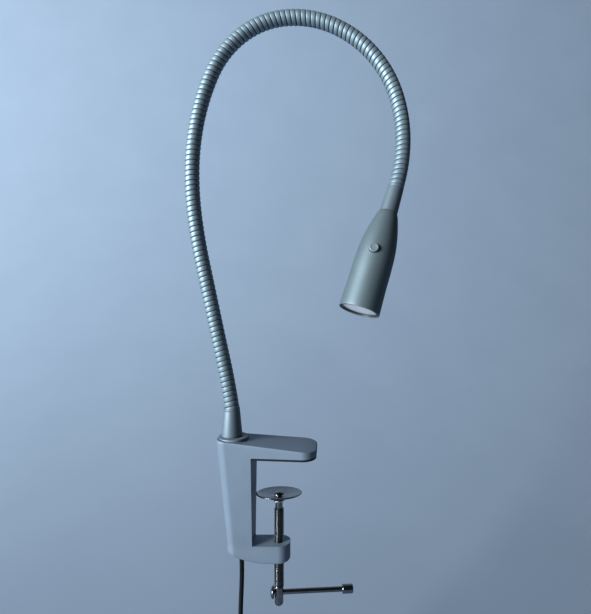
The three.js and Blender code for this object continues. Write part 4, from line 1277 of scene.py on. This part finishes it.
@dataclass
class LampHead(Assembly):
    """The bullet-shaped head in its own frame, whose Z axis points from the lens back to the neck."""

    line: NeckLine
    ferrule_length: float = 22.0
    ferrule_top: float = 5.8
    ferrule_foot: float = 6.95
    length: float = 78.5
    wall: float = 1.4
    bore: float = 4.0
    radii: tuple[tuple[float, float], ...] = (
        (0, 7.0), (4.2, 8.6), (17.2, 11.8), (30.2, 13.7), (44.2, 14.3), (59.2, 14.4), (78.5, 14.9))
    button_depth: float = 34.9
    button_turn: float = -14.0
    button_radius: float = 3.5
    button_proud: float = 1.8
    button_flange: float = 0.9
    shell_at_button: float = 13.95
    stem_radius: float = 1.2
    stem_foot: float = 4.9
    spring_radius: float = 1.85
    spring_wire: float = 0.22
    spring_turns: float = 5.0
    spring_foot: float = 5.3
    lens_back: float = 75.3
    lens_thickness: float = 1.6

    def __post_init__(self) -> None:
        """Works out the head's frame, at the top of the shell, and the button's, whose Z points out."""
        back = -self.line.heading(np.array(float(self.line.count)))
        aside = unit(np.cross(AHEAD, back))
        top = self.line.at(np.array(self.line.length)) - back * (self.ferrule_length + 2 * GAP)
        self.frame = Placement(top, np.stack([aside, np.cross(back, aside), back], axis=-1))
        outwards = about(2, self.button_turn) @ about(0, 90.0)
        self.button_frame = self.frame.child([0.0, 0.0, -self.button_depth], outwards)

    @property
    def flange_radius(self) -> float:
        """The radius of the button's flange, inside the shell."""
        return self.button_radius + self.button_flange

    @property
    def flange_top(self) -> float:
        """How far out the flange may reach before it meets the shell's inner wall."""
        inner = self.shell_at_button - self.wall
        return math.sqrt(inner**2 - self.flange_radius**2) - 2 * GAP

    def outline(self) -> Array:
        """Returns the shell's outer [radius, height] points from top to rim, on a smooth curve."""
        knots = np.array([[radius, -depth] for depth, radius in self.radii])
        return smooth_path(knots, 12)

    def shell(self) -> Object:
        """Makes the shell with its rim rolled thin and the button's hole cut."""
        outer, foot, rim = self.outline(), -self.length, self.radii[-1][1]
        z = outer[:, 1]
        inner = np.stack([outer[:, 0] - self.wall, z], axis=-1)[(z < -self.wall - 1) & (z > foot + 2.0)]
        lip = foot + 0.8
        mouth = rounded([[rim - 0.05, lip], [rim - 0.1, foot], [rim - 0.9, foot], [rim - 1.1, lip]], 0.35)
        neck = [[self.bore, -self.wall], [self.bore, 0.0], [outer[0, 0] - 0.3, 0.0]]
        profile = np.concatenate([outer[1:-2], mouth, inner[::-1], neck])
        body = skin("head_shell_skin", self.frame.put(turned_rings(profile, 112)), wrapped=True)
        r = self.button_radius + GAP
        drill = self.button_frame.put(turned_rings(np.array([[0, 6.0], [r, 6.0], [r, 18.0], [0, 18.0]]), 56))
        return combined(body, [("DIFFERENCE", skin("button_drill", drill))])

    def upper_ferrule(self) -> Object:
        """Makes the slim ferrule between neck and shell, with a socket that takes the tube's end."""
        top = self.ferrule_length + 2 * GAP + 0.3
        a, b, bore = self.ferrule_foot, self.ferrule_top + 0.35, self.bore
        return turned("upper_ferrule_skin", self.frame, [
            [bore, 0.02], [a, 0.02], [a, 0.5], [a - 0.08, 0.7], [b + 0.08, top - 2.4],
            [b - 0.2, top - 2.15], [b - 0.2, top - 1.9], [b, top - 1.7], [b, top], [b - 0.2, top],
            [b - 0.2, top - 1.3], [bore, top - 1.3],
        ], 0.25, 72, loop=True)

    def button(self) -> Object:
        """Makes the push button: its stem, its flange inside the shell, and its shallow dished face."""
        r, flange, stem, inside = self.button_radius, self.flange_radius, self.stem_radius, self.flange_top
        face = self.shell_at_button + self.button_proud
        return turned("push_button_skin", self.button_frame, [
            [0, self.stem_foot], [stem, self.stem_foot], [stem, inside - 0.8], [flange, inside - 0.8],
            [flange, inside], [r, inside], [r, face - 0.5], [r - 0.5, face], [r - 1.3, face - 0.12],
            [0, face - 0.2]], 0.35)

    def spring(self) -> Object:
        """Makes the button's spring: a circle carried along (R cos a, R sin a, rising evenly)."""
        turn = np.linspace(0.0, 2.0 * np.pi * self.spring_turns, 120)
        top = self.flange_top - 0.8 - GAP - self.spring_wire
        rise = np.linspace(self.spring_foot + self.spring_wire, top, len(turn))
        out = np.stack([np.cos(turn), np.sin(turn), 0.0 * turn], axis=-1)
        path = self.spring_radius * out + rise[:, None] * UP
        around = circle(10)[None, :, None]
        wire = path[:, None] + self.spring_wire * (out[:, None] * np.cos(around) + UP * np.sin(around))
        return skin("button_spring_coil", self.button_frame.put(wire))

    def lens(self) -> Object:
        """Makes the lens: a disc with a slightly domed face."""
        r = self.radii[-1][1] - self.wall - GAP
        back, face = -self.lens_back, -self.lens_back - self.lens_thickness
        return turned("lens_skin", self.frame, [
            [0, back], [r, back], [r, face + 0.1], [r * 0.6, face - 0.25], [0, face - 0.4]], 0.4, 80)

    def lens_ring(self) -> Object:
        """Makes the thin snap ring that holds the lens."""
        r = self.radii[-1][1] - self.wall - 0.1
        foot, top = -self.length + 0.4, -self.lens_back - self.lens_thickness + 0.05
        profile = [[r - 1.0, foot], [r, foot], [r, top], [r - 1.0, top]]
        return turned("lens_ring_skin", self.frame, profile, 0.3, 80, loop=True)

    def build(self) -> None:
        """Builds the head's outer pieces and the button."""
        for piece, slot, body, node in (
            (self.shell(), "head_satin", "head", "head_shell"),
            (self.upper_ferrule(), "ferrule_satin", "head", "upper_ferrule"),
            (self.lens(), "lens_frosted", "head", "lens"),
            (self.lens_ring(), "black_plastic", "head", "lens_ring"),
            (self.button(), "button_satin", "push_button", "push_button"),
        ):
            self.fitter.fit(piece, slot, body, node)
        spring = self.fitter.fit(self.spring(), "spring_steel", "head", "switch_spring")
        anchor = self.button_frame.put(np.array([0.0, 0.0, self.spring_foot])) * MM
        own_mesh(spring)


# ---- cord ----


@dataclass
class LowVoltageCord(Assembly):
    """The thin cord: down out of the column, then folded into a hank held by a tie, with its plug below."""

    diameter: float = 3.8
    length: float = 1800.0
    exit_z: float = -72.3
    exit_x: float = -31.0
    entry_x: float = -31.7
    hank_top: float = -157.0
    run: float = 62.0
    fold: float = 15.2
    inner_fold: float = 11.4
    turns: int = 4
    tail_y: float = -4.18
    tail_foot: float = -262.0
    tie_width: float = 9.0
    tie_thickness: float = 1.2
    plug_length: float = 24.0
    plug_radius: float = 4.8
    barrel_length: float = 9.5
    barrel_radius: float = 2.75
    bends: tuple[Triple, ...] = (
        (-31, 0.3, -78), (-31, 2.4, -88), (-31.3, 4.5, -99), (-31.6, 5.2, -109), (-32, 5.1, -119),
        (-32.1, 3.2, -131), (-31.7, 0.7, -145))

    def __post_init__(self) -> None:
        """Works out where the hank's middle, the ends of its straight runs and its tail lie."""
        self.middle_x = self.entry_x - self.fold
        self.run_top = self.hank_top - self.fold - self.diameter / 2
        self.run_foot = self.run_top - self.run
        self.tail_x = self.middle_x + self.inner_fold

    def drop(self) -> Array:
        """Returns the free stretch from column to hank, which bows back behind the tommy bar's path."""
        start, end = [self.exit_x, 0, self.exit_z], [self.entry_x, 0, self.hank_top]
        return smooth_path(np.array([start, *self.bends, end], float), 5)

    def winding(self) -> Array:
        """Works out the hank's two layers.

        A turn goes down one run, round the lower fold, up the other run and round the upper fold. Its step in
        Y is even along the turn: outwards in the outer layer, and back in the inner one.

        Returns:
            The points of the winding, with shape (points, 3).
        """
        turn = np.linspace(0.0, 2.0 * self.turns, 72 * 2 * self.turns + 1)
        fold = mix(self.fold, self.inner_fold, smoothstep((turn - self.turns) / 0.26))
        bend = np.pi * fold
        way = (turn - np.floor(turn)) * (2.0 * self.run + 2.0 * np.pi * fold)
        arms = [way < self.run, way < self.run + bend, way < 2 * self.run + bend]
        low, high = (way - self.run) / fold, (way - 2 * self.run - bend) / fold
        x = np.select(arms, [fold, fold * np.cos(low), -fold], -fold * np.cos(high))
        z = np.select(
            arms,
            [self.run_top - way, self.run_foot - fold * np.sin(low), self.run_foot + way - self.run - bend],
            self.run_top + fold * np.sin(high),
        )
        y = self.diameter * (self.turns - np.abs(turn - self.turns))
        return np.stack([self.middle_x + x, y, z], axis=-1)

    def tail(self) -> Array:
        """Returns the last run, which steps out from the hank below the tie and leads into the plug."""
        z = np.linspace(self.run_top - 1.0, self.tail_foot, 40)
        step = smoothstep((self.run_top - 0.54 * self.run - z) / 22.0)
        return np.stack([np.full_like(z, self.tail_x), self.tail_y * step, z], axis=-1)

    def path(self) -> Array:
        """Returns the whole centreline, evened out by two light passes of averaging."""
        line = np.concatenate([self.drop(), self.winding(), self.tail()])
        for _ in range(2):
            line[1:-1] = 0.25 * line[:-2] + 0.5 * line[1:-1] + 0.25 * line[2:]
        return line

    def tie(self) -> Object:
        """Makes the tie: a flat band on a rounded oblong round all the runs, with rounded edges."""
        play, corner, half, t = 0.35, 3.0, self.tie_width / 2, self.tie_thickness
        reach = self.fold + self.diameter / 2 + play
        front, back = -self.diameter / 2 - play, (self.turns + 0.5) * self.diameter + play
        angle = circle(96)
        out = np.stack([np.cos(angle), np.sin(angle)], axis=-1)
        side = np.sign(out) * [reach - corner, (back - front) / 2 - corner]
        section = rounded([[0.0, -half], [t, -half], [t, half], [0.0, half]], 0.35, loop=True)
        plan = side + (corner + section[:, None, :1]) * out + [self.middle_x, (front + back) / 2]
        z = section[:, None, 1] + self.run_top - 0.42 * self.run
        rings = np.stack(np.broadcast_arrays(plan[..., 0], plan[..., 1], z), axis=-1)
        return skin("cord_tie_band", rings, wrapped=True)

    def plug(self) -> tuple[Object, Object]:
        """Makes the plug's moulded body, with its ribbed relief, and its barrel."""
        place, r, c = upright(self.tail_x, self.tail_y), self.plug_radius, self.diameter / 2
        top = self.tail_foot - 0.2
        foot = top - self.plug_length
        ribs = [[c + 0.45 + 0.13 * k + 0.35 * (k % 2), top - 1.1 * k] for k in range(1, 10)]
        body = turned("plug_body_skin", place, [
            [0, top], [c + 0.3, top], *ribs, [r - 0.6, top - 11.0], [r, top - 12.0], [r, top - 21.5],
            [r - 0.5, foot + 0.4], [r - 1.0, foot], [0, foot]], 0.4)
        start, b = foot - 0.1, self.barrel_radius
        end = start - self.barrel_length
        barrel = turned("plug_barrel_skin", place, [
            [0, start], [b, start], [b, end + 0.4], [b - 0.35, end], [b - 1.6, end], [b - 1.6, start - 2.0],
            [0, start - 2.0]], 0.2, 48)
        return body, barrel

    def build(self) -> None:
        line = self.path()
        flex = skin("low_voltage_cord", tube_rings(line, self.diameter / 2, 20))
        self.fitter.fit(flex, "cord_black", "clamp", "cord", "cord_hank", "cord_tail")
        self.fitter.fit(self.tie(), "black_plastic", "clamp", "cord_tie")
        body, barrel = self.plug()
        self.fitter.fit(body, "plug_black", "clamp", "plug_body")
        self.fitter.fit(barrel, "nickel", "clamp", "plug_barrel")


# ---- stage ----


@dataclass
class Stage:
    """The camera, the pale sweep of paper and the soft key light, in metres."""

    camera_at: Triple = (0.0418, -0.369, 0.1263)
    lens: float = 27.411
    shift: tuple[float, float] = (-0.0584, -0.0118)
    floor_z: float = -0.305
    wall_y: float = 1.5
    curve: float = 1.4
    reach: float = 3.5
    air: tuple[float, float, float, float] = (0.42, 0.52, 0.68, 1.0)
    air_strength: float = 0.04
    key_at: Triple = (-4.0, -2.8, 1.4)
    key_aim: Triple = (0.0, 0.0, 0.1)
    key_size: float = 2.2
    key_watts: float = 690.0
    key_colour: Triple = (0.81, 0.94, 1.03)

    def set_camera(self) -> None:
        """Makes the camera, which looks level along +Y."""
        data = bpy.data.cameras.new("camera")
        data.sensor_fit, data.sensor_width, data.lens = "HORIZONTAL", 36.0, self.lens
        data.shift_x, data.shift_y = self.shift
        camera = add_object("camera", data)
        camera.location, camera.rotation_euler = self.camera_at, (math.radians(90.0), 0.0, 0.0)
        bpy.context.scene.camera = camera

    def sweep(self) -> Object:
        """Makes the paper: a level floor that turns up into a wall along a quarter circle."""
        turn = np.radians(np.linspace(0.0, 90.0, 24))
        start = self.wall_y - self.curve
        y = np.concatenate([[-self.reach], start + self.curve * np.sin(turn), [self.wall_y]])
        z = np.concatenate([[0.0], self.curve * (1 - np.cos(turn)), [self.reach]]) + self.floor_z
        x = np.linspace(-self.reach, self.reach, 5)
        grid = np.stack(np.broadcast_arrays(x, y[:, None], z[:, None]), axis=-1)
        index = np.arange(len(y) * len(x)).reshape(len(y), len(x))
        quads = np.stack([index[:-1, :-1], index[:-1, 1:], index[1:, 1:], index[1:, :-1]], axis=-1)
        mesh = bpy.data.meshes.new("paper_sweep")
        mesh.from_pydata(grid.reshape(-1, 3), [], quads.reshape(-1, 4).tolist())
        mesh.shade_smooth()
        return add_object("paper_sweep", mesh)

    def set_lights(self) -> None:
        """Hangs the square key light, which faces the lamp, and sets the dim surroundings."""
        world = bpy.data.worlds.new("surroundings")
        world.use_nodes = True
        shade = world.node_tree.nodes["Background"]
        shade.inputs["Color"].default_value = self.air
        shade.inputs["Strength"].default_value = self.air_strength
        bpy.context.scene.world = world
        data = bpy.data.lights.new("key", "AREA")
        data.size, data.energy, data.color = self.key_size, self.key_watts, self.key_colour
        back = unit(np.array(self.key_at) - np.array(self.key_aim))
        side = unit(np.cross(UP, back))
        matrix = np.eye(4)
        matrix[:3] = np.stack([side, np.cross(back, side), back, self.key_at], axis=-1)
        add_object("key", data).matrix_world = Matrix(matrix.tolist())

    def build(self) -> None:
        """Builds the paper and the light and sets how colours are shown."""
        paper, cloth = self.sweep(), StageCloth("paper", (0.224, 0.266, 0.330), (0.240, 0.282, 0.348), 0.85)
        paper.data.materials.append(cloth.material())
        self.set_lights()
        bpy.context.scene.view_settings.view_transform = "Standard"


# ---- carried-over CAD pieces ----


INNER_NODES = {
    "neck_stud": "brass", "strain_relief": "black_rubber", "column_lead": "cord_black", "head_stud": "brass",
    "head_nut": "brass", "driver_board": "circuit_board", "driver_inductor": "black_plastic",
    "driver_capacitor": "black_plastic", "switch_body": "black_plastic", "heat_sink": "bare_aluminium",
    "led_board": "white_board", "led_emitter": "led_yellow", "reflector": "reflector_mirror",
    "lens_seal": "black_rubber", "led_wire_red": "wire_red", "led_wire_black": "black_plastic",
}


def corners(low: Any, high: Any) -> list[list[float]]:
    """Returns two corners as plain lists of numbers."""
    return [[float(x) for x in low], [float(x) for x in high]]


def main() -> None:
    """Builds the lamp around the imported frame, piece by piece."""
    logging.basicConfig(level=logging.INFO, format="%(name)s: %(message)s")
    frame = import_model()
    stage, line, fitter = Stage(), NeckLine(), Fitter()
    stage.set_camera()
    for assembly in (
        LowVoltageCord(fitter), ClampCasting(fitter), ClampScrew(fitter), LowerFerrule(fitter),
        Gooseneck(fitter, line), LampHead(fitter, line),
    ):
        assembly.build()
    for node, slot in INNER_NODES.items():
        fitter.dress_node(frame["nodes"][node], slot)
    for node in frame["nodes"].values():
        if node.name not in INNER_NODES:
            fitter.dress_node(node, "black_plastic")
    stage.build()


if __name__ == "__main__":
    main()
